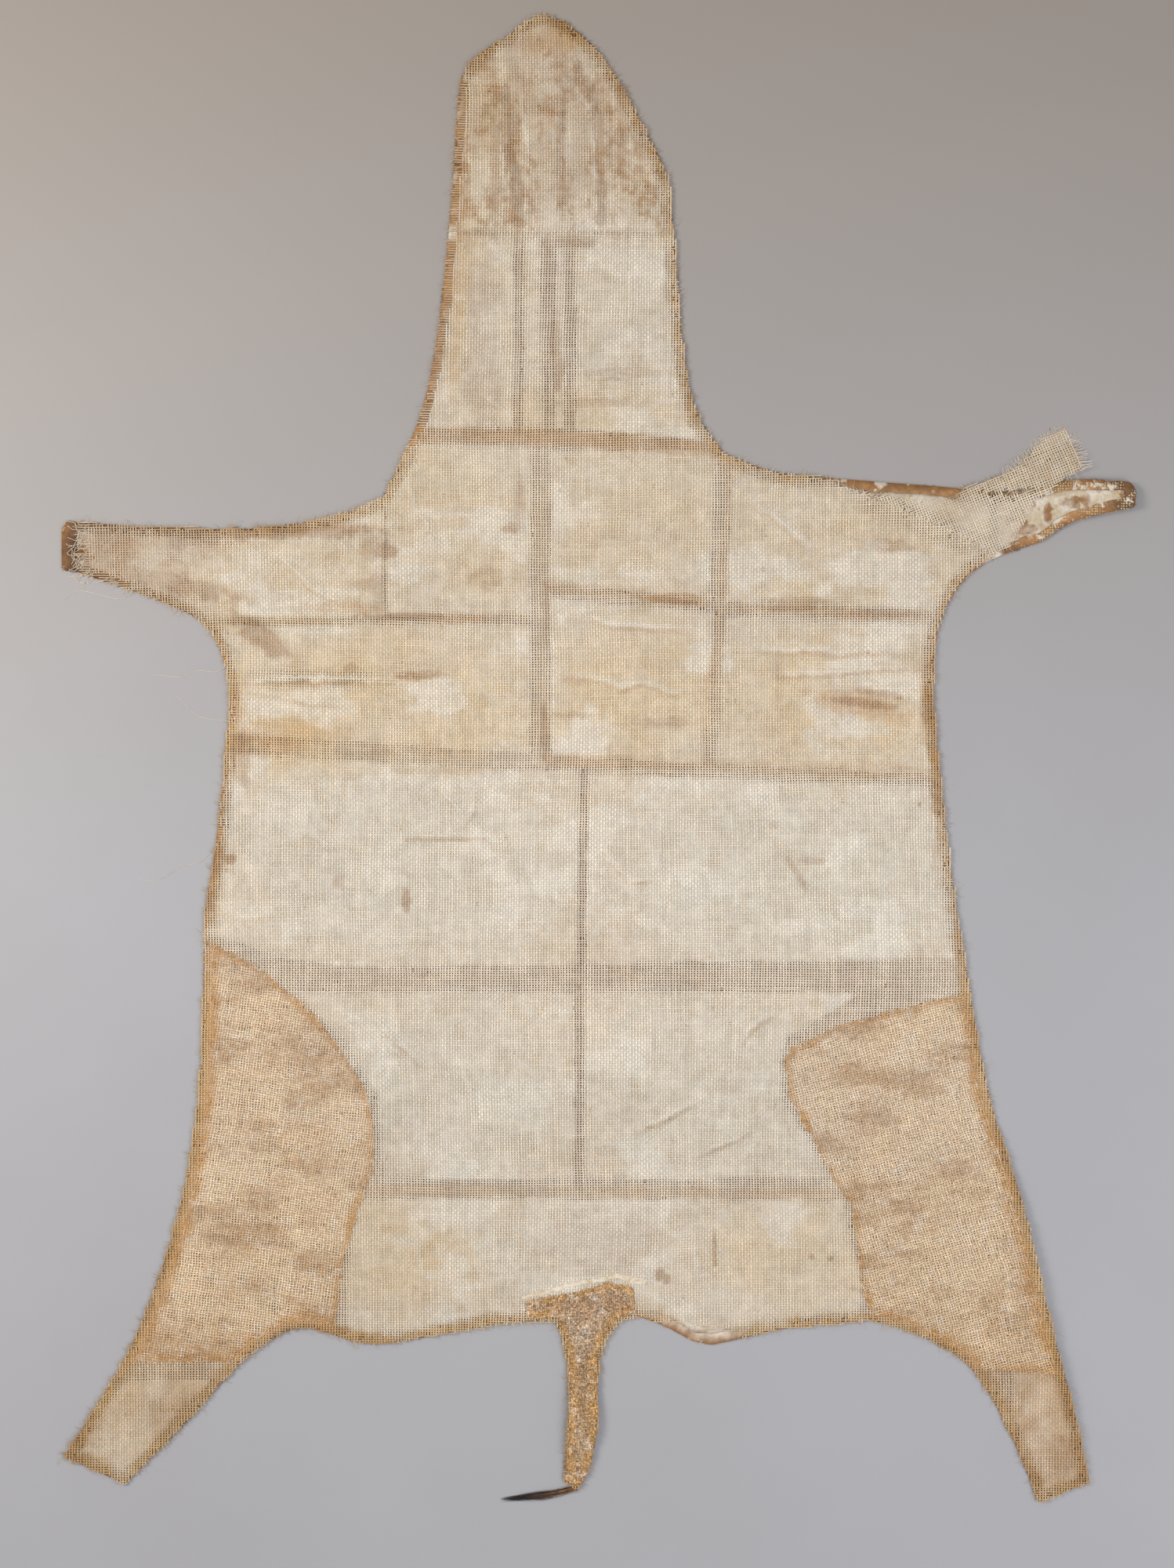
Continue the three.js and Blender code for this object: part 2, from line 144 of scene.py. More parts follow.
def fractal(x: Array, y: Array, wave: float, seed: int) -> Array:
    """Sum of four noises, each at half the wave and 0.55 of the height of the one before.

    Args:
        x, y: Places across and along, in mm.
        wave: The first noise's wave, in mm.
        seed: Picks the first lattice.
    Returns:
        Values from about -1 to 1.
    """
    total = np.zeros(np.broadcast(x, y).shape)
    for step in range(OCTAVES):
        total = total + noise(x, y, wave / 2 ** step, seed + step) * OCTAVE_SHARE ** step
    return total / OCTAVE_SUM


def blend(under: Array, over: Colour, amount: Array) -> Array:
    """Mixes a colour over an array of colours by an amount from 0 to 1."""
    share = np.clip(amount, 0.0, 1.0)[..., None]
    return under * (1.0 - share) + np.asarray(over) * share


def painted(base: Colour, layers: tuple[tuple[Colour, Array], ...]) -> Array:
    """Lays colours one over another on a base colour.

    Args:
        base: The lowest colour, linear.
        layers: Each colour and its amount at each place, the lowest first.
    Returns:
        Linear colours, one row for each place.
    """
    colour = np.broadcast_to(base, layers[0][1].shape + (3,)).copy()
    for over, amount in layers:
        colour = blend(colour, over, amount)
    return colour


def declare(piece: bpy.types.Object, node: str | None = None) -> None:
    """Puts a piece on the root body, in the place of a CAD node if one is named.

    Args:
        piece: The piece.
        node: The CAD node that it stands for.
    """
    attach(piece, "root")
    if node is not None:
        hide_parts(node)


# Relief, the same as in the part's source.

@dataclass(frozen=True)
class Ridge:
    """A long low swelling: a cosine bump across, a half sine along."""
    from_x: float
    from_y: float
    to_x: float
    to_y: float
    half_width: float
    height: float

    def lift(self, x: Array, y: Array) -> Array:
        """Height over the ridge's own length and width, and nought outside.

        Args:
            x, y: Places across and along, in mm.
        Returns:
            Lift in mm: height, times half of one plus the cosine of the way across, times the sine
            of the way along.
        """
        span_x = self.to_x - self.from_x
        span_y = self.to_y - self.from_y
        length = np.hypot(span_x, span_y)
        along = ((x - self.from_x) * span_x + (y - self.from_y) * span_y) / length
        across = ((x - self.from_x) * span_y - (y - self.from_y) * span_x) / length
        inside = (along > 0) & (along < length) & (np.abs(across) < self.half_width)
        wave = 0.5 + 0.5 * np.cos(np.pi * np.clip(across / self.half_width, -1, 1))
        return np.where(inside, self.height * wave * np.sin(np.pi * np.clip(along / length, 0, 1)), 0.0)


THIGH_CREASE = Ridge(425, -880, 725, -955, 42, 5)
CREASES = (
    Ridge(405, 450, 660, 336, 30, 4),
    Ridge(215, 250, 560, 232, 26, 2.5),
    Ridge(-600, 135, -340, 133, 26, 2.5),
)
WRINKLES = tuple(Ridge(*row) for row in (
    (-600, 136, -340, 128, 9, 1.3), (-596, 118, -400, 84, 8, 0.9), (-50, 232, 176, 214, 9, 1.1),
    (-80, 140, 176, 112, 9, 1.0), (220, 190, 540, 176, 10, 1.3), (250, 142, 556, 156, 8, 1.0),
    (-264, -50, -212, -108, 7, 1.1), (-212, -108, -205, -46, 7, 1.0), (10, -138, 50, -204, 7, 1.2),
    (50, -204, 96, -196, 7, 1.0), (-500, -55, -446, -160, 9, 1.0), (-388, -418, -284, -510, 10, 1.4),
    (230, -470, 300, -412, 9, 1.2), (40, -614, 178, -560, 9, 1.1), (-230, -470, -190, -640, 9, 0.9),
    (150, -654, 256, -612, 8, 1.0), (-700, -812, -440, -834, 12, 1.8), (-640, -500, -440, -560, 11, 1.2),
    (330, -500, 560, -530, 11, 1.4), (420, -640, 640, -700, 11, 1.2), (-30, 640, 60, 628, 7, 0.9),
    (-210, 620, -140, 560, 8, 0.8), (250, 440, 380, 330, 9, 1.1), (-330, 480, -250, 300, 9, 0.9),
    (-130, 1120, -116, 900, 8, 1.0), (0, 1090, 16, 930, 8, 0.9), (-560, 350, -420, 250, 9, 1.0),
    (100, -30, 112, -330, 8, 0.8), (-300, -740, -290, -900, 8, 0.9), (150, -745, 170, -900, 8, 0.9),
))


def swell(x: Array, y: Array, ridges: tuple[Ridge, ...]) -> Array:
    """Sum of the lifts of several ridges, each worked out only near its own line.

    Args:
        x, y: Places across and along, in mm.
        ridges: The ridges.
    Returns:
        Lift in mm.
    """
    total = np.zeros(np.broadcast(x, y).shape)
    for ridge in ridges:
        across = 0.5 * abs(ridge.to_x - ridge.from_x) + ridge.half_width
        along = 0.5 * abs(ridge.to_y - ridge.from_y) + ridge.half_width
        near = np.abs(x - 0.5 * (ridge.from_x + ridge.to_x)) < across
        near &= np.abs(y - 0.5 * (ridge.from_y + ridge.to_y)) < along
        total[near] += ridge.lift(x[near], y[near])
    return total


def wrinkled(x: Array, y: Array) -> Array:
    """Lift of the small creases, each bent off its straight line by noises of 46 and 15 mm.

    Args:
        x, y: Places across and along, in mm.
    Returns:
        Lift in mm.
    """
    bent_x = x + 8.0 * noise(x, y, 46, 91) + 2.4 * noise(x, y, 15, 92)
    bent_y = y + 8.0 * noise(x, y, 46, 93) + 2.4 * noise(x, y, 15, 94)
    return swell(bent_x, bent_y, WRINKLES)


@dataclass(frozen=True)
class Relief:
    """How far the stack stands above the flat. All sizes and results are in mm.

    Every method takes places across and along, x and y, and returns a height at each.
    """
    tip_start: float = 660
    tip_end: float = 889
    tip_height: float = 13
    edge_from: tuple[float, float] = (660, -600)
    edge_to: tuple[float, float] = (812, -1199)
    edge_reach: float = 95
    edge_height: float = 8
    tail_long: float = 220
    tail_half: float = 90
    tail_height: float = 6
    flap_x: float = 600
    flap_y: float = 448
    flap_slope: float = 0.08
    faintest: float = 0.08

    def tip(self, x: Array, y: Array) -> Array:
        """The right foreleg's tip curls up with the square of the way along it.

        Args:
            x, y: Places across and along, in mm.
        Returns:
            Heights in mm.
        """
        way = np.clip((x - self.tip_start) / (self.tip_end - self.tip_start), 0, 1)
        front = 1.0 - 0.35 * smoothstep(416, 460, y)
        return np.where(y > FORELEGS, self.tip_height * way * way * front, 0.0)

    def thigh_edge(self, x: Array, y: Array) -> Array:
        """The right thigh's outer edge lifts with the square of nearness to it.

        Args:
            x, y: Places across and along, in mm.
        Returns:
            Heights in mm.
        """
        from_x, from_y = self.edge_from
        span_x, span_y = self.edge_to[0] - from_x, self.edge_to[1] - from_y
        length = np.hypot(span_x, span_y)
        along = ((x - from_x) * span_x + (y - from_y) * span_y) / length
        inwards = ((x - from_x) * span_y - (y - from_y) * span_x) / length
        near = np.clip(1.0 - inwards / self.edge_reach, 0, 1.3)
        height = self.edge_height * near ** 2 * np.sin(np.pi * np.clip(along / length, 0, 1))
        return np.where((along > 0) & (along < length), height, 0.0)

    def tail(self, x: Array, y: Array) -> Array:
        """The tail arches off the floor as the square of a half sine.

        Args:
            x, y: Places across and along, in mm.
        Returns:
            Heights in mm.
        """
        way = (TAIL - y) / self.tail_long
        inside = (np.abs(x - TAIL_X) <= self.tail_half) & (way > 0) & (way < 1)
        return np.where(inside, self.tail_height * np.sin(np.pi * np.clip(way, 0, 1)) ** 2, 0.0)

    def hide(self, x: Array, y: Array) -> Array:
        """Sum of all lifts of the skin, with the faintest taken as flat."""
        total = self.tip(x, y) + self.thigh_edge(x, y) + self.tail(x, y) + THIGH_CREASE.lift(x, y)
        return np.where(total < self.faintest, 0.0, total)

    def wrinkles(self, x: Array, y: Array) -> Array:
        """Small creases of the glued layers, each a narrow ridge, and a slow swell between them."""
        return 1.5 * wrinkled(x, y) + 0.35 * fractal(x, y, 70, 71)

    def scrim(self, x: Array, y: Array) -> Array:
        """The skin's lift and the scrim's own creases, let down to the floor along the torn flap.

        Args:
            x, y: Places across and along, in mm.
        Returns:
            Heights in mm.
        """
        raised = self.hide(x, y) + self.wrinkles(x, y)
        crease = swell(x, y, CREASES)
        far = smoothstep(28, 66, y - (self.flap_y + self.flap_slope * (x - self.flap_x)))
        drop = np.where(x > self.flap_x, far, 0.0)
        return (raised + crease + SCRIM_FOOT) * (1 - drop) - SCRIM_FOOT


RELIEF = Relief()


# Edges and distances.

def loop_area(loop: Array) -> float:
    """Area inside a closed edge in square mm: half the sum of the corners' cross products."""
    x, y = loop[:, 0], loop[:, 1]
    return 0.5 * abs(float(np.sum(x * np.roll(y, -1) - np.roll(x, -1) * y)))


def node_loops(name: str) -> list[Array]:
    """Reads the closed edges of a CAD node's underside.

    The underside is every triangle that faces down, and its edges are those that only one such
    triangle has. Where two closed edges meet in one corner, either way on from it is right.

    Args:
        name: The CAD node.
    Returns:
        One array of points for each closed edge, in mm, the longest first.
    """
    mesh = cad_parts[name].data
    mesh.calc_loop_triangles()
    points = np.empty(len(mesh.vertices) * 3)
    mesh.vertices.foreach_get("co", points)
    points = points.reshape(-1, 3) / MM
    corners = np.empty(len(mesh.loop_triangles) * 3, dtype=np.int32)
    mesh.loop_triangles.foreach_get("vertices", corners)
    corners = corners.reshape(-1, 3)
    a, b, c = (points[corners[:, k]] for k in range(3))
    normal = np.cross(b - a, c - a)
    facing = normal[:, 2] < -0.3 * np.linalg.norm(normal, axis=1)
    unique, index = np.unique(np.round(points, 2), axis=0, return_inverse=True)
    down = index.reshape(-1)[corners][facing]
    edges = np.concatenate([down[:, (0, 1)], down[:, (1, 2)], down[:, (2, 0)]])
    found = {(int(p), int(q)) for p, q in edges if p != q}
    follow: dict[int, list[int]] = {}
    for p, q in sorted(found):
        if (q, p) not in found:
            follow.setdefault(q, []).append(p)
    loops = []
    while follow:
        chain = [next(iter(follow))]
        while chain[-1] in follow:
            ways = follow[chain[-1]]
            chain.append(ways.pop())
            if not ways:
                del follow[chain[-2]]
            if chain[-1] == chain[0]:
                break
        loops.append(unique[chain[:-1]][:, :2])
    kept = [loop for loop in loops if len(loop) > 2 and loop_area(loop) > LEAST_AREA]
    return sorted(kept, key=loop_area, reverse=True)


@dataclass
class Distance:
    """Signed distance to closed edges on a square grid, positive inside, up to FAR_INSIDE."""
    loops: list[Array]
    cell: float = 2.5
    low: Array = field(init=False)
    grid: Array = field(init=False)

    def __post_init__(self) -> None:
        """Takes the least distance to every edge segment near it, and flips sides at each crossing."""
        every = np.concatenate(self.loops)
        self.low = every.min(axis=0) - FAR_INSIDE
        size = np.ceil((every.max(axis=0) + FAR_INSIDE - self.low) / self.cell).astype(int) + 1
        gx = self.low[0] + np.arange(size[0]) * self.cell
        gy = self.low[1] + np.arange(size[1]) * self.cell
        gap = np.full((size[1], size[0]), FAR_INSIDE)
        inside = np.zeros_like(gap, dtype=bool)
        for loop in self.loops:
            for (ax, ay), (bx, by) in zip(loop, np.roll(loop, -1, axis=0)):
                cols = np.flatnonzero((gx > min(ax, bx) - FAR_INSIDE) & (gx < max(ax, bx) + FAR_INSIDE))
                rows = np.flatnonzero((gy > min(ay, by) - FAR_INSIDE) & (gy < max(ay, by) + FAR_INSIDE))
                part = np.ix_(rows, cols)
                px, py = gx[cols][None, :] - ax, gy[rows][:, None] - ay
                dx, dy = bx - ax, by - ay
                way = np.clip((px * dx + py * dy) / (dx * dx + dy * dy + 1e-12), 0, 1)
                gap[part] = np.minimum(gap[part], np.hypot(px - way * dx, py - way * dy))
                crossed = np.flatnonzero((gy > min(ay, by)) & (gy <= max(ay, by)))
                if len(crossed):
                    at_x = ax + (gy[crossed] - ay) * dx / dy
                    inside[crossed] ^= gx[None, :] < at_x[:, None]
        self.grid = np.where(inside, gap, -gap)

    def at(self, x: Array, y: Array) -> Array:
        """Reads the distance at any places.

        Args:
            x, y: Places across and along, in mm.
        Returns:
            Signed distance in mm, blended between the four nearest grid points.
        """
        u = np.clip((x - self.low[0]) / self.cell, 0, self.grid.shape[1] - 1.001)
        v = np.clip((y - self.low[1]) / self.cell, 0, self.grid.shape[0] - 1.001)
        i, j = u.astype(int), v.astype(int)
        fu, fv = u - i, v - j
        low = self.grid[j, i] * (1 - fu) + self.grid[j, i + 1] * fu
        high = self.grid[j + 1, i] * (1 - fu) + self.grid[j + 1, i + 1] * fu
        return low * (1 - fv) + high * fv


def even_loop(loop: Array, step: float) -> Array:
    """Points at even steps along a closed edge.

    Args:
        loop: The edge's corners.
        step: Distance between points, in mm.
    Returns:
        The new points, in the same order.
    """
    closed = np.vstack([loop, loop[:1]])
    run = np.concatenate([[0.0], np.cumsum(np.hypot(*np.diff(closed, axis=0).T))])
    places = np.linspace(0, run[-1], max(8, int(run[-1] / step)), endpoint=False)
    return np.stack([np.interp(places, run, closed[:, 0]), np.interp(places, run, closed[:, 1])], axis=1)


def near_line(x: Array, y: Array, line: Line) -> Array:
    """Distance to the nearest part of an open line.

    Args:
        x, y: Places across and along, in mm.
        line: The line's corners, in mm.
    Returns:
        Distance in mm.
    """
    best = np.full(np.broadcast(x, y).shape, 1e6)
    for (ax, ay), (bx, by) in zip(line[:-1], line[1:]):
        dx, dy = bx - ax, by - ay
        way = np.clip(((x - ax) * dx + (y - ay) * dy) / (dx * dx + dy * dy), 0, 1)
        best = np.minimum(best, np.hypot(x - ax - way * dx, y - ay - way * dy))
    return best


# Meshes.

@dataclass
class Surface:
    """Arrays of one mesh before it becomes an object."""
    points: Array
    faces: Array
    tint: Array
    yarn: Array | None = None
    extra: dict[str, Array] = field(default_factory=dict)
    slots: Array | None = None

    def joined(self, other: "Surface") -> "Surface":
        """This surface and another as one, the other's corners counted on from this one's."""
        yarn = None if self.yarn is None else np.concatenate([self.yarn, other.yarn])
        return Surface(np.concatenate([self.points, other.points]),
                       np.concatenate([self.faces, other.faces + len(self.points)]),
                       np.concatenate([self.tint, other.tint]), yarn)

    def make(self, name: str, materials: list[bpy.types.Material]) -> bpy.types.Object:
        """Fills a mesh with foreach_set and links its object at the origin.

        Args:
            name: The piece's name.
            materials: Its materials, in slot order.
        Returns:
            The new object.
        """
        count, corners = self.faces.shape
        mesh = bpy.data.meshes.new(name)
        mesh.vertices.add(len(self.points))
        mesh.vertices.foreach_set("co", (self.points * MM).astype(np.float32).ravel())
        mesh.loops.add(count * corners)
        mesh.loops.foreach_set("vertex_index", self.faces.astype(np.int32).ravel())
        mesh.polygons.add(count)
        mesh.polygons.foreach_set("loop_start", np.arange(0, count * corners, corners, dtype=np.int32))
        mesh.update(calc_edges=True)
        colours = mesh.color_attributes.new("Tint", "FLOAT_COLOR", "POINT")
        rgba = np.concatenate([self.tint, np.ones((len(self.tint), 1))], axis=1)
        colours.data.foreach_set("color", rgba.astype(np.float32).ravel())
        for key, values in self.extra.items():
            attribute = mesh.attributes.new(key, "FLOAT", "POINT")
            attribute.data.foreach_set("value", values.astype(np.float32))
        flat = self.faces.ravel()
        maps = {"OFBake": self.points[flat][:, :2] / BAKE_SPAN + 0.5}
        if self.yarn is not None:
            maps["Yarn"] = self.yarn[flat]
        for key, values in maps.items():
            mesh.uv_layers.new(name=key).data.foreach_set("uv", values.astype(np.float32).ravel())
        for material in materials:
            mesh.materials.append(material)
        if self.slots is not None:
            mesh.polygons.foreach_set("material_index", self.slots.astype(np.int32))
        mesh.shade_smooth()
        piece = bpy.data.objects.new(name, mesh)
        bpy.context.scene.collection.objects.link(piece)
        return piece


def triangulated(loop: Array, spacing: float, seed: int) -> tuple[Array, Array]:
    """Fills a closed edge with near-even triangles.

    Interior points stand on a lattice of the spacing, each moved a little, at least 0.6 of the
    spacing from the edge.

    Args:
        loop: The edge's corners, in mm.
        spacing: Distance between interior points, in mm.
        seed: For the small moves.
    Returns:
        The points, and the triangles that face up.
    """
    rng = np.random.default_rng(seed)
    inside = Distance([loop], cell=max(1.5, spacing / 4))
    low, high = loop.min(axis=0), loop.max(axis=0)
    x, y = np.meshgrid(np.arange(low[0], high[0], spacing), np.arange(low[1], high[1], spacing))
    x = x.ravel() + rng.uniform(-0.2, 0.2, x.size) * spacing
    y = y.ravel() + rng.uniform(-0.2, 0.2, y.size) * spacing
    kept = inside.at(x, y) > spacing * 0.6
    places = np.vstack([loop, np.stack([x[kept], y[kept]], axis=1)])
    filled = delaunay_2d_cdt([Vector(p) for p in places.tolist()], [], [list(range(len(loop)))], 1, 1e-4)
    points = np.array([tuple(v) for v in filled[0]])
    triangles = np.array(filled[2])
    a, b, c = (points[triangles[:, k]] for k in range(3))
    turn = (b[:, 0] - a[:, 0]) * (c[:, 1] - a[:, 1]) - (b[:, 1] - a[:, 1]) * (c[:, 0] - a[:, 0])
    triangles[turn < 0] = triangles[turn < 0][:, ::-1]
    return points, triangles


def slab(points: Array, triangles: Array, top: Array, bottom: Array, tint: Array) -> Surface:
    """A closed sheet: the triangles at the top, again facing down at the bottom, and a wall between.

    Args:
        points: Places in plan, in mm.
        triangles: Faces that point up.
        top: Height of the top at each point.
        bottom: Height of the bottom at each point.
        tint: Colour of the top at each point.
    Returns:
        The surface, with slot 0 on the top and walls and slot 1 below.
    """
    count = len(points)
    edges = np.concatenate([triangles[:, (0, 1)], triangles[:, (1, 2)], triangles[:, (2, 0)]])
    code = edges[:, 0] * count + edges[:, 1]
    back = edges[:, 1] * count + edges[:, 0]
    rim = edges[~np.isin(code, back)]
    a, b = rim[:, 0], rim[:, 1]
    wall = np.stack([np.concatenate([a + count, a + count]), np.concatenate([b + count, b]),
                     np.concatenate([b, a])], axis=1)
    faces = np.concatenate([triangles, wall, triangles[:, ::-1] + count])
    high = np.column_stack([points, top])
    low = np.column_stack([points, bottom])
    slots = np.concatenate([np.zeros(len(triangles) + len(wall)), np.ones(len(triangles))])
    return Surface(np.concatenate([high, low]), faces, np.concatenate([tint, tint]), slots=slots)


def ribbons(paths: Array, widths: Array, tint: Array) -> Surface:
    """Flat strips that face up along many paths at once.

    Args:
        paths: Places, as paths by points by three, in mm.
        widths: Width at each point, in mm.
        tint: Colour at each point.
    Returns:
        One surface of all strips, with the way across as the yarn map's u and mm along as its v.
    """
    strips, steps, _ = paths.shape
    heading = np.gradient(paths[..., :2], axis=1)
    heading /= np.linalg.norm(heading, axis=2, keepdims=True) + 1e-9
    side = np.stack([-heading[..., 1], heading[..., 0]], axis=2) * widths[..., None] / 2
    left, right = paths.copy(), paths.copy()
    left[..., :2] += side
    right[..., :2] -= side
    points = np.stack([left, right], axis=2).reshape(-1, 3)
    base = (np.arange(strips)[:, None] * steps + np.arange(steps - 1)[None, :]).ravel() * 2
    faces = np.stack([base, base + 1, base + 3, base + 2], axis=1)
    step = np.linalg.norm(np.diff(paths, axis=1), axis=2)
    run = np.concatenate([np.zeros((strips, 1)), np.cumsum(step, axis=1)], axis=1)
    yarn = np.stack([np.broadcast_to([0.0, 1.0], (strips, steps, 2)),
                     np.repeat(run[..., None], 2, axis=2)], axis=3).reshape(-1, 2)
    return Surface(points, faces, np.repeat(tint[:, :, None, :], 2, axis=2).reshape(-1, 3), yarn)


# Colour of each place.

CREAM = linear("#E8DAC4")
FELT = linear("#D6C9B2")
CRUST = linear("#EDE5D5")
OCHRE = linear("#E5C68F")
COOL = linear("#E8E2D3")
COOL_FELT = linear("#DAD3C3")
TAN = linear("#B98F60")
ORANGE = linear("#CB9857")
BROWN = linear("#8C6238")
DARK = linear("#5A3D24")
SKIN = linear("#B28C63")
EDGE_SKIN = linear("#A26C34")
GOLD = linear("#CFA766")
PEACH = linear("#F1D7B1")
STAIN = linear("#A87A48")
SOAKED = linear("#CF9C66")
FLAP = linear("#ECDFC5")
CRUSTED = linear("#A9845C")
CRUSTED_RIM = linear("#C8995A")
COAT_DARK = linear("#3A2A1F")
COAT_PALE = linear("#CDB78F")
TUFT_DARK = linear("#20140E")
TUFT_TAN = linear("#8A6238")


@dataclass(frozen=True)
class Spot:
    """A soft oval of colour."""
    x: float
    y: float
    across: float
    along: float
    strength: float
    turn: float = 0.0

    def amount(self, x: Array, y: Array) -> Array:
        """Full strength in the middle third, falling to nought at the oval's ragged edge.

        Args:
            x, y: Places across and along, in mm.
        Returns:
            Amount from 0 to the spot's strength.
        """
        turn = np.radians(self.turn)
        dx, dy = x - self.x, y - self.y
        u = (dx * np.cos(turn) + dy * np.sin(turn)) / self.across
        v = (dy * np.cos(turn) - dx * np.sin(turn)) / self.along
        far = np.hypot(u, v) + 0.2 * noise(x, y, max(8.0, min(self.across, self.along) * 0.7), 77)
        far = far + 0.14 * noise(x, y, 6.0, 79)
        return self.strength * (1.0 - smoothstep(0.55, 1.05, far))


OCHRE_SPOTS = tuple(Spot(*row) for row in (
    (-370, 110, 330, 150, 0.62), (390, 90, 260, 150, 0.5), (-230, 380, 190, 170, 0.35),
    (60, 390, 170, 150, 0.3), (420, 350, 260, 140, 0.4), (60, 110, 160, 160, 0.45),
    (-610, 300, 300, 110, 0.5), (-170, 1000, 100, 240, 0.35), (-330, -830, 150, 120, 0.5),
    (330, -830, 160, 110, 0.4), (-770, -1060, 150, 150, 0.5), (750, -1110, 110, 150, 0.4),
    (0, 575, 230, 50, 0.35), (-60, 60, 560, 40, 0.3), (60, 1060, 90, 200, 0.25),
    (150, 980, 30, 260, 0.9, 14), (60, 1150, 60, 60, 0.9, 40), (-60, 1210, 110, 50, 0.8),
    (-190, 1060, 40, 160, 0.8), (-224, 800, 16, 300, 0.5, -4), (196, 700, 20, 220, 0.8, 4),
    (-560, 60, 110, 130, 0.7), (-480, 220, 240, 24, 0.6), (-300, 460, 60, 90, 0.5),
))
COOL_SPOTS = tuple(Spot(*row) for row in (
    (-320, -180, 360, 190, 0.8), (280, -190, 380, 190, 0.8), (-230, -540, 280, 190, 0.7),
    (170, -540, 280, 190, 0.7), (-60, -810, 200, 90, 0.4), (20, 700, 120, 120, 0.3),
))
CRUST_SPOTS = tuple(Spot(*row) for row in (
    (-47, -870, 74, 9, 1.0, 13), (-78, 110, 8, 130, 0.9), (-250, -38, 290, 12, 0.7),
    (300, -44, 250, 12, 0.6), (-60, 250, 10, 40, 0.8), (-330, 470, 40, 50, 0.5), (40, 470, 120, 30, 0.5),
    (-560, 330, 110, 24, 0.6), (-460, 300, 90, 26, 0.6, 15), (-500, 250, 110, 18, 0.6, 10),
    (330, 420, 90, 34, 0.5, -10), (300, 320, 60, 30, 0.5), (170, 190, 12, 60, 0.6),
    (-180, 690, 30, 120, 0.5), (70, 760, 70, 60, 0.2), (60, 680, 80, 18, 0.6, -8), (10, 880, 60, 16, 0.7),
    (-170, 860, 20, 60, 0.6), (-430, -345, 110, 12, 0.8), (-240, -380, 180, 12, 0.7),
    (200, -345, 260, 12, 0.6), (-380, -440, 70, 26, 0.7, -30), (-250, -500, 16, 90, 0.6),
    (20, -740, 200, 9, 0.6), (190, -900, 60, 30, 0.35), (130, -905, 50, 14, 0.8, -18),
    (290, -60, 20, 40, 0.6), (100, -200, 60, 30, 0.6), (0, -230, 30, 60, 0.5), (-520, -80, 60, 60, 0.5),
))
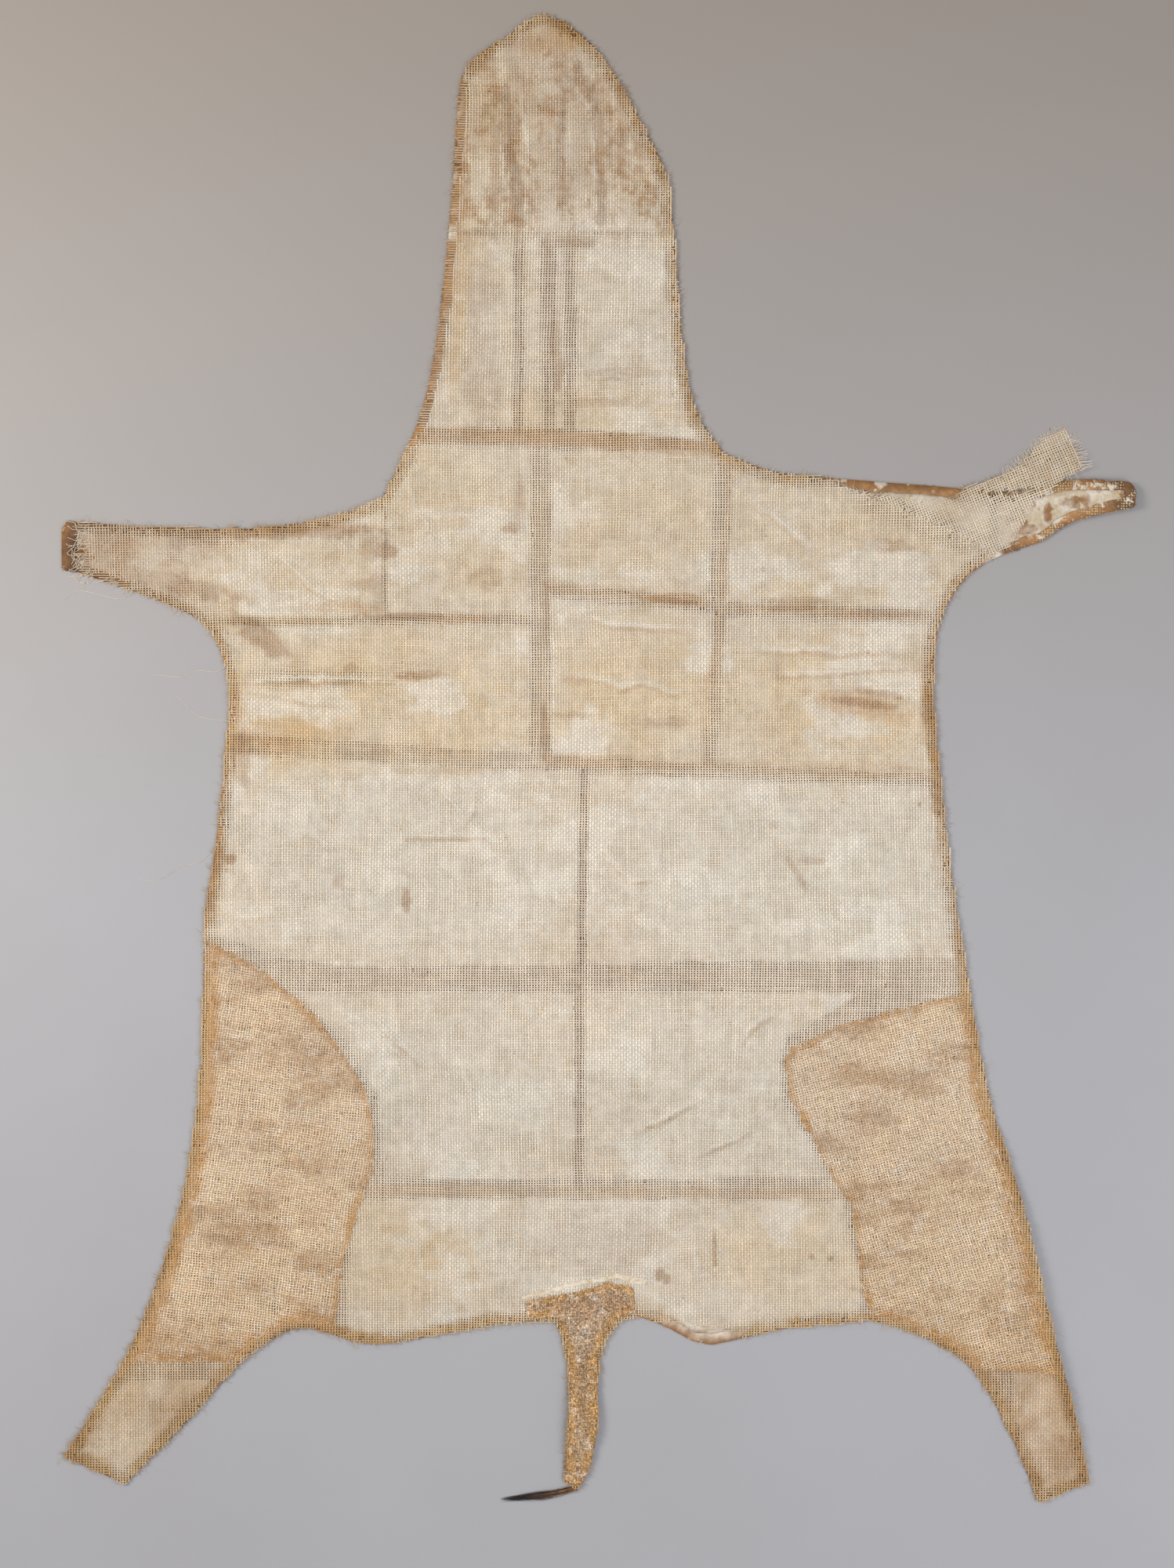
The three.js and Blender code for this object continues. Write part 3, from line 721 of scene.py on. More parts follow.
BROWN_SPOTS = tuple(Spot(*row) for row in (
    (520, -902, 110, 9, 0.7, -14), (648, -934, 80, 12, 0.7, -12), (700, -880, 18, 90, 0.6, 16),
    (430, -700, 24, 60, 0.4, 10), (560, -760, 90, 24, 0.35), (500, -560, 110, 20, 0.4, 10),
    (-560, -760, 70, 30, 0.4), (-500, -620, 90, 26, 0.4), (-590, -880, 90, 22, 0.5),
    (-352, 345, 26, 20, 0.9), (-322, 236, 90, 7, 0.8), (-300, 136, 44, 7, 0.9), (440, 92, 70, 9, 0.8, -8),
    (470, 108, 50, 8, 0.6, -8), (120, 262, 60, 7, 0.8, -6), (-318, -236, 8, 26, 0.8),
    (-612, -166, 14, 10, 0.9), (194, -812, 5, 40, 0.9), (104, -856, 12, 12, 0.9), (-86, 240, 8, 60, 0.5),
    (-150, 380, 20, 9, 0.8), (320, 250, 60, 7, 0.7), (560, 60, 30, 60, 0.4),
    (690, -740, 16, 160, 0.8, 14), (760, -1010, 18, 130, 0.8, 16), (600, -300, 14, 140, 0.6, 4),
    (-590, 0, 20, 60, 0.6), (-10, -800, 140, 60, 0.3), (-866, 340, 24, 70, 1.0),
    (-720, 345, 120, 50, 0.45), (-200, 640, 30, 110, 0.3), (-190, 780, 40, 60, 0.3),
    (-420, -640, 60, 30, 0.3), (-740, 397, 150, 20, 0.9), (-720, 296, 150, 22, 0.8, -14),
    (-815, 345, 60, 70, 0.8), (-560, 205, 70, 22, 0.8, -38), (-640, 60, 16, 120, 0.4),
    (-45, 72, 44, 8, 0.5), (-88, 40, 8, 60, 0.6), (-690, -1050, 40, 120, 0.4, -28),
    (-880, -1110, 60, 60, 0.5), (790, -1160, 60, 70, 0.6), (670, -1150, 24, 120, 0.5, 14),
    (700, -1010, 60, 90, 0.4), (90, 1130, 16, 110, 0.5, 32), (170, 950, 16, 190, 0.5, 10),
    (-215, 1160, 60, 40, 0.6), (-170, 1010, 12, 180, 0.6), (40, 1060, 12, 160, 0.6),
    (-30, 950, 70, 24, 0.4), (-560, 376, 260, 16, 0.8), (-800, 340, 40, 60, 0.5),
    (-700, 240, 120, 18, 0.5, -28), (-60, 1180, 120, 50, 0.45), (-60, 1090, 46, 36, 0.5),
    (-30, 1010, 20, 90, 0.45), (-90, 1030, 24, 70, 0.4), (-200, 1100, 60, 120, 0.35),
    (80, 1020, 20, 60, 0.4, 20), (-40, 858, 44, 10, 0.4), (-64, 640, 12, 40, 0.6),
    (-70, 690, 10, 60, 0.5), (-170, 620, 12, 90, 0.3), (-129, 420, 10, 60, 0.4), (-360, 280, 14, 70, 0.4),
    (-380, 290, 40, 12, 0.4), (330, 262, 60, 10, 0.5), (470, 240, 70, 10, 0.45), (300, 120, 8, 90, 0.3),
    (110, 60, 60, 12, 0.45), (-40, 130, 20, 12, 0.4), (-410, 150, 12, 12, 0.5), (290, -110, 10, 10, 0.4),
    (330, -190, 8, 40, 0.5, 30), (352, -170, 30, 8, 0.5), (-430, -205, 12, 16, 0.4),
    (-620, -30, 14, 60, 0.5), (-250, -20, 110, 8, 0.25), (-380, 8, 60, 8, 0.25),
    (-540, -420, 60, 30, 0.4), (-140, 1080, 16, 170, 0.55), (10, 1030, 18, 140, 0.5),
    (-70, 1110, 80, 120, 0.4), (-85, 960, 70, 60, 0.3), (-186, 299, 36, 22, 0.45),
    (-290, 140, 44, 8, 0.6), (-143, 384, 18, 12, 0.5), (485, 353, 48, 14, 0.5), (-376, 350, 26, 30, 0.5),
    (-248, -133, 84, 5, 0.6), (-316, -237, 8, 14, 0.8), (-606, -165, 10, 10, 0.9),
    (113, -861, 10, 10, 0.9), (354, -824, 6, 6, 0.8), (386, -827, 6, 6, 0.8), (194, -809, 4, 30, 0.9),
    (533, -75, 5, 5, 1.0), (-32, -377, 6, 6, 0.9), (40, 640, 90, 12, 0.3), (20, 590, 110, 10, 0.35),
    (-300, 1000, 40, 180, 0.3),
))
ORANGE_SPOTS = tuple(Spot(*row) for row in (
    (-234, 900, 20, 330, 0.4, -2), (60, 1120, 60, 80, 0.4, -40), (-100, 1200, 90, 40, 0.45),
    (-640, -80, 22, 220, 0.8), (-660, -520, 30, 240, 0.8, -3), (-700, -760, 30, 120, 0.7, -12),
    (640, -560, 26, 200, 0.5, 12), (740, -930, 34, 180, 0.6, 14), (570, -20, 20, 260, 0.45),
    (-420, 250, 90, 12, 0.6), (-230, 232, 60, 10, 0.7), (432, 88, 96, 26, 0.85, -12),
    (126, 264, 60, 16, 0.6), (438, 101, 70, 20, 0.5), (-520, 40, 130, 30, 0.5), (-610, 60, 40, 90, 0.5),
    (-560, 385, 220, 14, 0.5), (-300, 330, 60, 14, 0.3), (560, 100, 40, 120, 0.4),
))
SEAMS = (
    (((-310, 538), (-80, 532), (190, 512)), 12.0, 1.3),
    (((-640, 24), (-520, 20)), 13.0, 1.0),
    (((-520, 20), (-82, 0)), 10.0, 0.15),
    (((-82, 0), (178, -8), (600, -26)), 11.0, 0.75),
    (((-381, -714), (-36, -716), (419, -722)), 9.0, 0.8),
    (((-92, 517), (-92, -15)), 9.0, 0.12),
    (((221, 489), (205, 261), (200, 190), (181, 109), (178, 1)), 8.0, 0.6),
    (((-82, 287), (178, 261)), 9.0, 0.6),
    (((214, 250), (321, 247), (559, 230)), 8.0, 0.6),
    (((-640, 229), (-452, 229)), 7.0, 0.45),
    (((-355, 234), (-147, 234)), 7.0, 0.3),
)
GLUED_SEAMS = (
    (((-250, 872), (190, 872)), 13.0, 1.0),
    (((655, 318), (655, 400)), 12.0, 1.0),
    (((-520, 14), (-82, 0)), 11.0, 0.6),
    (((-381, -714), (-36, -716), (419, -722)), 9.0, 0.45),
    (((-92, 517), (-92, -15)), 9.0, 0.45),
    (((-520, -352), (-30, -366), (600, -352)), 12.0, 0.2),
)
# Dark lines along the cuts between lining strips: the joints' own darker colour and their painted shadow.
DARK_SEAMS = (
    (((-131, 862), (-131, 545)), 6.0, 0.8),
    (((-81, 862), (-81, 545)), 7.0, 0.6),
    (((-45, 862), (-45, 545)), 7.0, 0.8),
    (((-86, 853), (-9, 853)), 7.0, 0.4),
    (((-131, 862), (-136, 966), (-150, 1010), (-152, 1110)), 8.0, 0.9),
    (((4, 890), (4, 1000), (-4, 1090), (-34, 1150)), 7.5, 0.8),
    (((-60, 900), (-64, 1010), (-58, 1090)), 6.0, 0.5),
    (((-22, -22), (-30, -350), (-34, -705)), 6.0, 1.0),
    (((-520, -352), (-30, -366), (600, -352)), 9.0, 0.15),
)


def layered(x: Array, y: Array, spots: tuple[Spot, ...]) -> Array:
    """The strongest of several spots at each place, each worked out only near itself.

    Args:
        x, y: Places across and along, in mm.
        spots: The spots.
    Returns:
        Amount from 0 to 1.
    """
    total = np.zeros(np.broadcast(x, y).shape)
    for spot in spots:
        near = np.hypot(x - spot.x, y - spot.y) < 1.35 * max(spot.across, spot.along)
        total[near] = np.maximum(total[near], spot.amount(x[near], y[near]))
    return total


def along_seams(x: Array, y: Array, seams: tuple[Seam, ...]) -> Array:
    """How strongly seam colour shows: full near each line and nought at 1.3 of its half width.

    Args:
        x, y: Places across and along, in mm.
        seams: Each line with its half width, in mm, and its strength.
    Returns:
        Amount from 0 to 1, the strongest of the seams.
    """
    total = np.zeros(np.broadcast(x, y).shape)
    wander = 2.5 * noise(x, y, 24, 51) + 1.8 * noise(x, y, 8, 53)
    for line, half, strength in seams:
        far = near_line(x, y, line) + wander
        total = np.maximum(total, strength * (1 - smoothstep(half * 0.85, half * 1.3, far)))
    return total


@dataclass
class Dye:
    """Gives threads, panels and skin their colours from listed spots, seams and noise.

    Attributes:
        rug: Distance inwards from the skin's edge.
        panels: Distance inwards from the edges of the linings.
        thighs: Distance inwards from the edges of both thigh patches.
    """
    rug: Distance
    panels: Distance
    thighs: Distance

    def crust(self, x: Array, y: Array) -> Array:
        """Where dried white glue drowns the weave, in ragged patches and strokes on the panels, and where
        a painted highlight lies along the crest of each small crease.

        Args:
            x, y: Places across and along, in mm.
        Returns:
            Cover from 0 to 1: the greatest of a fractal noise cut at its middle, the listed
            strokes and the height of the small creases, and nought off the panels.
        """
        front = smoothstep(820, 900, y)
        patches = smoothstep(0.16, 0.5, fractal(x, y * 1.5, 110, 361)) * (1 - 0.75 * front)
        strokes = layered(x, y, CRUST_SPOTS) * (0.75 + 0.5 * noise(x, y, 9, 367))
        # Painted highlight: glue-white along the crest of each small crease.
        crease_highlight = np.clip(wrinkled(x, y), 0, 1) * 0.8
        cover = np.maximum(np.maximum(patches * 0.8, strokes), crease_highlight)
        return np.clip(cover, 0, 1) * smoothstep(-1, 6, self.panels.at(x, y))

    def dimmer_ends_and_left(self, x: Array, y: Array) -> Array:
        """Brightness of the whole cloth, a little lower at the front, the rear and the left side."""
        ends = 0.05 * smoothstep(-420, -560, y) + 0.04 * smoothstep(170, 300, y)
        return 1.0 - ends - 0.07 * smoothstep(0, -480, x)

    def crease_shade(self, x: Array, y: Array) -> Array:
        """Painted shade along the lower side of each small crease, where the crease's lift falls away."""
        above = wrinkled(x - 2.0, y + 6.0)
        return np.clip(above - wrinkled(x, y), 0, 1)

    def head(self, x: Array, y: Array) -> Array:
        """Brown streaks on the head: two noises drawn out along it, cut to ragged patches."""
        streaks = 0.62 * fractal(x * 2.4, y, 64, 331) + 0.5 * fractal(x * 1.6, y, 17, 337)
        return smoothstep(820, 900, y) * smoothstep(0.02, 0.36, streaks)

    def legs(self, x: Array, y: Array) -> Array:
        """How far down a hind leg a place is, from 0 at the thigh's middle to 1 at the hock."""
        return smoothstep(-860, -1010, y) * smoothstep(380, 470, np.abs(x))

    def soaked(self, x: Array, y: Array) -> Array:
        """Cover of the thigh patches, from 0 at their edge to 1 from 9 mm inwards."""
        return smoothstep(0, 9, self.thighs.at(x, y))

    def thread(self, x: Array, y: Array, seed: int) -> Array:
        """Cream cotton, ochre over soaked glue, tan over the gaps and along the rug's edge.

        Args:
            x, y: Places across and along, in mm.
            seed: For the noise of this set of threads.
        Returns:
            Linear colours, one row for each place.
        """
        mottle = fractal(x, y, 90, seed)
        bare = 1 - smoothstep(-9, -2, self.panels.at(x, y) + 3 * noise(x, y, 18, seed + 9))
        ragged = self.rug.at(x, y) + 7 * noise(x, y, 30, seed + 3) + 5 * noise(x, y, 9, seed + 4)
        edge = 1 - smoothstep(3, 20, ragged)
        burnt = smoothstep(-0.1, 0.7, noise(x, y, 120, 351) + 0.4 * noise(x, y, 24, 353))
        golden = (1 - smoothstep(8, 28, ragged)) * smoothstep(-300, -420, y)
        legs = self.legs(x, y) * (0.7 + 0.7 * fractal(x, y, 34, seed + 15))
        tail = smoothstep(-960, -1000, y) * (np.abs(x - TAIL_X) < RELIEF.tail_half)
        soaked = self.soaked(x, y) * (0.75 + 0.5 * fractal(x, y, 44, seed + 13))
        colour = painted(CREAM, (
            (COOL, layered(x, y, COOL_SPOTS) * 0.7),
            (OCHRE, layered(x, y, OCHRE_SPOTS) * (0.55 + 0.5 * mottle)),
            # Dried glue crust, with a painted highlight along the crease crests.
            (CRUST, self.crust(x, y) * 0.75),
            # Painted shade on the lower side of each small crease.
            (TAN, self.crease_shade(x, y) * 0.45),
            (TAN, bare * 0.08),
            (ORANGE, along_seams(x, y, SEAMS) * 0.33 * (0.8 + 0.6 * mottle)),
            (BROWN, along_seams(x, y, DARK_SEAMS) * np.where(y > HEAD, 0.4, 0.16)),
            (ORANGE, layered(x, y, ORANGE_SPOTS) * 0.45),
            (STAIN, layered(x, y, BROWN_SPOTS) * 0.6),
            (TAN, self.head(x, y) * (0.42 + 0.4 * noise(x, y, 6, seed + 33))),
            (GOLD, edge * (0.42 + 0.3 * noise(x, y, 7, seed + 35))),
            (STAIN, edge * burnt * 0.5),
            (GOLD, golden * 0.36),
            (TAN, legs * np.where(x > 0, 0.6, 0.28)),
            (BROWN, tail * 0.4),
            (GOLD, tail * 0.25),
            (TAN, soaked * 0.12),
            (GOLD, soaked * smoothstep(-560, -900, y) * 0.34),
            (CREAM, smoothstep(-590, -680, x) * (y > FORELEGS) * 0.25),
            (OCHRE, smoothstep(0.45, 0.8, noise(x, y, 7, seed + 5)) * 0.16),
        ))
        # Dimmer towards the front, the rear and the left side.
        return colour * (self.dimmer_ends_and_left(x, y) + 0.06 * fractal(x, y, 30, seed + 21))[..., None]

    def panel(self, x: Array, y: Array, inside: Array) -> Array:
        """White stiffened felt, yellowed by glue, browner at its own edge and in listed stains.

        Args:
            x, y: Places across and along, in mm.
            inside: Distance from the panel's own edge, in mm.
        Returns:
            Linear colours, one row for each place.
        """
        mottle = fractal(x, y, 70, 311)
        under = smoothstep(-5, 9, self.thighs.at(x, y))
        dust = smoothstep(0.1, 0.8, fractal(x, y, 40, 317)) * (1 - under)
        wide = 16 * smoothstep(-560, -640, x) * (y > FORELEGS)
        border = 1 - smoothstep(8 + wide, 22 + wide, self.rug.at(x, y) + 9 * noise(x, y, 26, 325))
        tip = smoothstep(600, 660, x) * (y > 280)
        colour = painted(FELT, (
            (COOL_FELT, layered(x, y, COOL_SPOTS) * 0.9),
            (OCHRE, layered(x, y, OCHRE_SPOTS) * (0.5 + 0.6 * mottle)),
            # Dried glue crust, with a painted highlight along the crease crests.
            (CRUST, self.crust(x, y) * 0.9),
            (TAN, dust * 0.22),
            # Painted shade on the lower side of each small crease.
            (BROWN, self.crease_shade(x, y) * 0.5),
            (SOAKED, under * 0.6),
            (BROWN, self.head(x, y) * 0.8),
            (DARK, along_seams(x, y, DARK_SEAMS) * 0.8 * (y > HEAD)),
            (TAN, self.legs(x, y) * np.where(x > 0, 0.75, 0.5)),
            (BROWN, border * 0.75),
            (CRUST, tip * 0.85),
            (STAIN, tip * smoothstep(0.16, 0.26, fractal(x, y, 22, 323)) * 0.85),
            (ORANGE, layered(x, y, ORANGE_SPOTS) * 0.9),
            (BROWN, layered(x, y, BROWN_SPOTS) * 0.95),
            (TAN, (1 - smoothstep(0, 7, inside)) * 0.22),
        ))
        # Dimmer towards the front, the rear and the left side.
        return colour * (self.dimmer_ends_and_left(x, y) + 0.05 * fractal(x, y, 24, 341))[..., None]

    def skin(self, x: Array, y: Array) -> Array:
        """Brown tanned skin, orange along seams and at the rug's edge, dark at the leg ends, with painted
        shadow along the panels' edges.

        Args:
            x, y: Places across and along, in mm.
        Returns:
            Linear colours, one row for each place.
        """
        ends = np.maximum(smoothstep(-805, -870, x), smoothstep(800, 870, x) * (y > 0))
        ends = np.maximum(ends, smoothstep(-1165, -1215, y) * (np.abs(x) > 300))
        # Painted shadow on the skin next to the panels' edges, standing in for shade cast into the gaps.
        rim = (1 - smoothstep(0, 6, np.abs(self.panels.at(x, y)))) * (self.rug.at(x, y) > 30)
        hem = smoothstep(60, 90, x) * smoothstep(330, 290, x) * (y < -860)
        colour = painted(SKIN, (
            (ORANGE, along_seams(x, y, SEAMS) * 0.45),
            (BROWN, along_seams(x, y, DARK_SEAMS) * 0.7),
            (EDGE_SKIN, (1 - smoothstep(3, 22, self.rug.at(x, y))) * 0.75),
            (DARK, smoothstep(0.1, 0.75, fractal(x, y, 55, 401)) * 0.55),
            (BROWN, smoothstep(-540, -640, x) * (y > FORELEGS) * 0.65),
            (DARK, ends * 0.4 * (1 + noise(x, y, 20, 409))),
            (DARK, layered(x, y, BROWN_SPOTS) * 0.7),
            # Painted shadow along the panels' edges.
            (DARK, rim * 0.2),
            (SOAKED, self.soaked(x, y) * 0.6),
            (CRUST, along_seams(x, y, GLUED_SEAMS) * 0.9),
            (CRUST, hem * smoothstep(2, 8, self.rug.at(x, y)) * 0.6),
        ))
        return colour * (1 + 0.16 * fractal(x, y, 30, 411))[..., None]


# Finishes.

def add_node(tree: bpy.types.NodeTree, kind: str, inputs: dict, output: int | str = 0,
             **settings: str) -> bpy.types.NodeSocket:
    """Adds one node with its values, its links and its settings.

    Args:
        tree: The material's node tree.
        kind: The node's type name, without the ShaderNode at its start.
        inputs: Values or sockets for its inputs, by name or number.
        output: Name or number of the output that is wanted.
        settings: Properties to set on the node.
    Returns:
        That output's socket.
    """
    node = tree.nodes.new("ShaderNode" + kind)
    for key, value in settings.items():
        setattr(node, key, value)
    for key, value in inputs.items():
        if isinstance(value, bpy.types.NodeSocket):
            tree.links.new(value, node.inputs[key])
        else:
            node.inputs[key].default_value = value
    return node.outputs[output]


def new_tree(name: str) -> tuple[bpy.types.Material, bpy.types.NodeTree, bpy.types.NodeSocket]:
    """Makes an empty material.

    Args:
        name: The material's name.
    Returns:
        The material, its node tree and the socket of the place on the object.
    """
    material = bpy.data.materials.new(name)
    material.use_nodes = True
    material.node_tree.nodes.clear()
    return material, material.node_tree, add_node(material.node_tree, "TexCoord", {}, "Object")


def closed(material: bpy.types.Material, inputs: dict) -> bpy.types.Material:
    """Closes a material with its one surface shader.

    Args:
        material: The material.
        inputs: Values or sockets for the shader's inputs.
    Returns:
        The same material.
    """
    tree = material.node_tree
    shader = add_node(tree, "BsdfPrincipled", inputs)
    output = tree.nodes.new("ShaderNodeOutputMaterial")
    tree.links.new(shader, output.inputs["Surface"])
    return material


@dataclass(frozen=True)
class TannedSkin:
    """Flesh side of tanned skin: dull brown, faintly leathery, glue dots where cloth has left it."""
    name: str = "tanned_skin_flesh_side"
    roughness: float = 0.78
    pore: float = 1.6
    dot_pitch: float = 4.3
    flake: float = 30.0
    dot: str = "#D8C59A"
    glue: str = "#E4DAC6"

    def build(self) -> bpy.types.Material:
        """Skin tint times a coarse and a fine noise, glue dots on one Voronoi cell a thread crossing.

        Returns:
            The material.
        """
        material, tree, place = new_tree(self.name)
        tint = add_node(tree, "Attribute", {}, "Color", attribute_name="Tint")
        glue = add_node(tree, "Attribute", {}, "Fac", attribute_name="Glue")
        coarse = add_node(tree, "TexNoise", {
            "Vector": place, "Scale": 70.0, "Detail": 6.0, "Roughness": 0.65})
        light = add_node(tree, "MapRange", {
            "Value": coarse, "From Min": 0.3, "From Max": 0.7, "To Min": 0.62, "To Max": 1.3})
        dull = add_node(tree, "Mix", {
            0: 1.0, 6: tint, 7: light}, 2, data_type="RGBA", blend_type="MULTIPLY")
        cells = add_node(tree, "TexVoronoi", {
            "Vector": place, "Scale": 1000.0 / self.dot_pitch, "Randomness": 0.35}, "Distance")
        dots = add_node(tree, "MapRange", {
            "Value": cells, "From Min": 0.34, "From Max": 0.24, "To Min": 0.0, "To Max": 1.0})
        share = add_node(tree, "Math", {0: dots, 1: glue}, operation="MULTIPLY")
        dotted = add_node(tree, "Mix", {
            0: share, 6: dull, 7: (*linear(self.dot), 1.0)}, 2, data_type="RGBA")
        flakes = add_node(tree, "TexNoise", {
            "Vector": place, "Scale": 1000.0 / self.flake, "Detail": 9.0, "Roughness": 0.68,
            "Distortion": 0.25})
        flaked = add_node(tree, "MapRange", {"Value": flakes, "From Min": 0.55, "From Max": 0.59})
        cover = add_node(tree, "Math", {0: flaked, 1: glue}, operation="MULTIPLY")
        white = add_node(tree, "Mix", {
            0: cover, 6: dotted, 7: (*linear(self.glue), 1.0)}, 2, data_type="RGBA")
        grain = add_node(tree, "TexNoise", {"Vector": place, "Scale": 1000.0 / self.pore, "Detail": 3.0})
        relief = add_node(tree, "Bump", {"Strength": 0.35, "Distance": 0.0006, "Height": grain})
        return closed(material, {
            "Base Color": white, "Roughness": self.roughness, "IOR": 1.5, "Normal": relief})


@dataclass(frozen=True)
class ZebraHair:
    """Short zebra hair, combed flat: near-black and cream stripes, their edges broken by the hairs."""
    name: str = "zebra_hair_side"
    dark: str = "#241B16"
    pale: str = "#D8CBB0"
    roughness: float = 0.6
    hair: float = 0.5

    def build(self) -> bpy.types.Material:
        """Stripe attribute plus fine streak noise, cut sharp at its middle.

        Returns:
            The material.
        """
        material, tree, place = new_tree(self.name)
        stripe = add_node(tree, "Attribute", {}, "Fac", attribute_name="Stripe")
        lie = add_node(tree, "Mapping", {"Vector": place, "Scale": (1.0, 0.08, 1.0)})
        streak = add_node(tree, "TexNoise", {"Vector": lie, "Detail": 4.0, "Scale": 1000.0 / self.hair})
        ragged = add_node(tree, "Math", {0: streak, 1: 0.5, 2: stripe}, operation="MULTIPLY_ADD")
        cut = add_node(tree, "MapRange", {"Value": ragged, "From Min": 0.2, "From Max": 0.32})
        coat = add_node(tree, "Mix", {
            0: cut, 6: (*linear(self.pale), 1.0), 7: (*linear(self.dark), 1.0)}, 2, data_type="RGBA")
        relief = add_node(tree, "Bump", {"Strength": 0.5, "Distance": 0.0005, "Height": streak})
        return closed(material, {
            "Base Color": coat, "Roughness": self.roughness, "IOR": 1.55, "Normal": relief})


@dataclass(frozen=True)
class StiffFelt:
    """White wool felt stiffened with glue: chalky and matt, with small crusts and yellowed hollows."""
    name: str = "glued_white_felt"
    roughness: float = 0.9
    crust: float = 6.0
    patch: float = 42.0
    soaked: str = "#E4D5BD"
    fibre: float = 1.2

    def build(self) -> bpy.types.Material:
        """Felt tint times crust noise, pressed and fibrous relief in the bump.

        Returns:
            The material.
        """
        material, tree, place = new_tree(self.name)
        tint = add_node(tree, "Attribute", {}, "Color", attribute_name="Tint")
        crust = add_node(tree, "TexNoise", {
            "Vector": place, "Scale": 1000.0 / self.crust, "Detail": 5.0, "Roughness": 0.6})
        patch = add_node(tree, "TexNoise", {
            "Vector": place, "Scale": 1000.0 / self.patch, "Detail": 8.0, "Roughness": 0.7,
            "Distortion": 0.6})
        share = add_node(tree, "MapRange", {"Value": patch, "From Min": 0.42, "From Max": 0.6})
        soaked = add_node(tree, "Mix", {
            0: 1.0, 6: tint, 7: (*linear(self.soaked), 1.0)
        }, 2, data_type="RGBA", blend_type="MULTIPLY")
        chalky = add_node(tree, "Mix", {0: 0.5, 6: tint, 7: (*CRUST, 1.0)}, 2, data_type="RGBA")
        coated = add_node(tree, "Mix", {0: share, 6: soaked, 7: chalky}, 2, data_type="RGBA")
        light = add_node(tree, "MapRange", {
            "Value": crust, "From Min": 0.3, "From Max": 0.7, "To Min": 0.84, "To Max": 1.1})
        body = add_node(tree, "Mix", {
            0: 1.0, 6: coated, 7: light}, 2, data_type="RGBA", blend_type="MULTIPLY")
        fibre = add_node(tree, "TexNoise", {"Vector": place, "Scale": 1000.0 / self.fibre, "Detail": 2.0})
        mixed = add_node(tree, "Math", {0: fibre, 1: 0.3, 2: crust}, operation="MULTIPLY_ADD")
        relief = add_node(tree, "Bump", {"Strength": 0.5, "Distance": 0.001, "Height": mixed})
        return closed(material, {
            "Base Color": body, "Roughness": self.roughness, "IOR": 1.5, "Normal": relief})


@dataclass(frozen=True)
class SpunYarn:
    """Spun vegetable yarn stiff with size: matt, round across each thread, its twist in fine lines."""
    name: str
    roughness: float = 0.85
    twist: float = 2.4
    fleck: float = 2.2
    contrast: float = 0.14

    def build(self) -> bpy.types.Material:
        """Thread tint, darker to its two sides by the yarn map's u, with slanting twist lines along v.

        Returns:
            The material.
        """
        material, tree, place = new_tree(self.name)
        yarn = add_node(tree, "UVMap", {}, uv_map="Yarn")
        parts = add_node(tree, "SeparateXYZ", {0: yarn})
        middle = add_node(tree, "Math", {0: parts, 1: 0.5}, operation="SUBTRACT")
        square = add_node(tree, "Math", {0: middle, 1: middle}, operation="MULTIPLY")
        shade = add_node(tree, "MapRange", {
            "Value": square, "From Min": 0.06, "From Max": 0.25, "To Min": 1.06, "To Max": 0.72})
        fleck = add_node(tree, "TexNoise", {"Vector": place, "Scale": 1000.0 / self.fleck, "Detail": 3.0})
        light = add_node(tree, "MapRange", {
            "Value": fleck, "From Min": 0.3, "From Max": 0.7, "To Min": 1.0 - self.contrast,
            "To Max": 1.0 + self.contrast})
        both = add_node(tree, "Math", {0: shade, 1: light}, operation="MULTIPLY")
        tint = add_node(tree, "Attribute", {}, "Color", attribute_name="Tint")
        body = add_node(tree, "Mix", {
            0: 1.0, 6: tint, 7: both}, 2, data_type="RGBA", blend_type="MULTIPLY")
        slant = add_node(tree, "Math", {
            0: parts.node.outputs[1], 1: self.twist, 2: parts}, operation="MULTIPLY_ADD")
        turns = add_node(tree, "Math", {0: slant}, operation="SINE")
        round_ = add_node(tree, "Math", {0: square, 1: -4.0, 2: turns}, operation="MULTIPLY_ADD")
        relief = add_node(tree, "Bump", {"Strength": 0.4, "Distance": 0.0003, "Height": round_})
        return closed(material, {
            "Base Color": body, "Roughness": self.roughness, "IOR": 1.5, "Sheen Weight": 0.12,
            "Normal": relief})


@dataclass(frozen=True)
class TailHair:
    """Coarse tail hair: dark brown, with a soft gloss along each strand."""
    name: str = "dark_tail_hair"
    roughness: float = 0.45

    def build(self) -> bpy.types.Material:
        """Strand tint with a little lengthwise noise.

        Returns:
            The material.
        """
        material, tree, place = new_tree(self.name)
        tint = add_node(tree, "Attribute", {}, "Color", attribute_name="Tint")
        streak = add_node(tree, "TexNoise", {"Vector": place, "Scale": 400.0, "Detail": 2.0})
        light = add_node(tree, "MapRange", {
            "Value": streak, "From Min": 0.3, "From Max": 0.7, "To Min": 0.7, "To Max": 1.3})
        body = add_node(tree, "Mix", {
            0: 1.0, 6: tint, 7: light}, 2, data_type="RGBA", blend_type="MULTIPLY")
        return closed(material, {"Base Color": body, "Roughness": self.roughness, "IOR": 1.55})


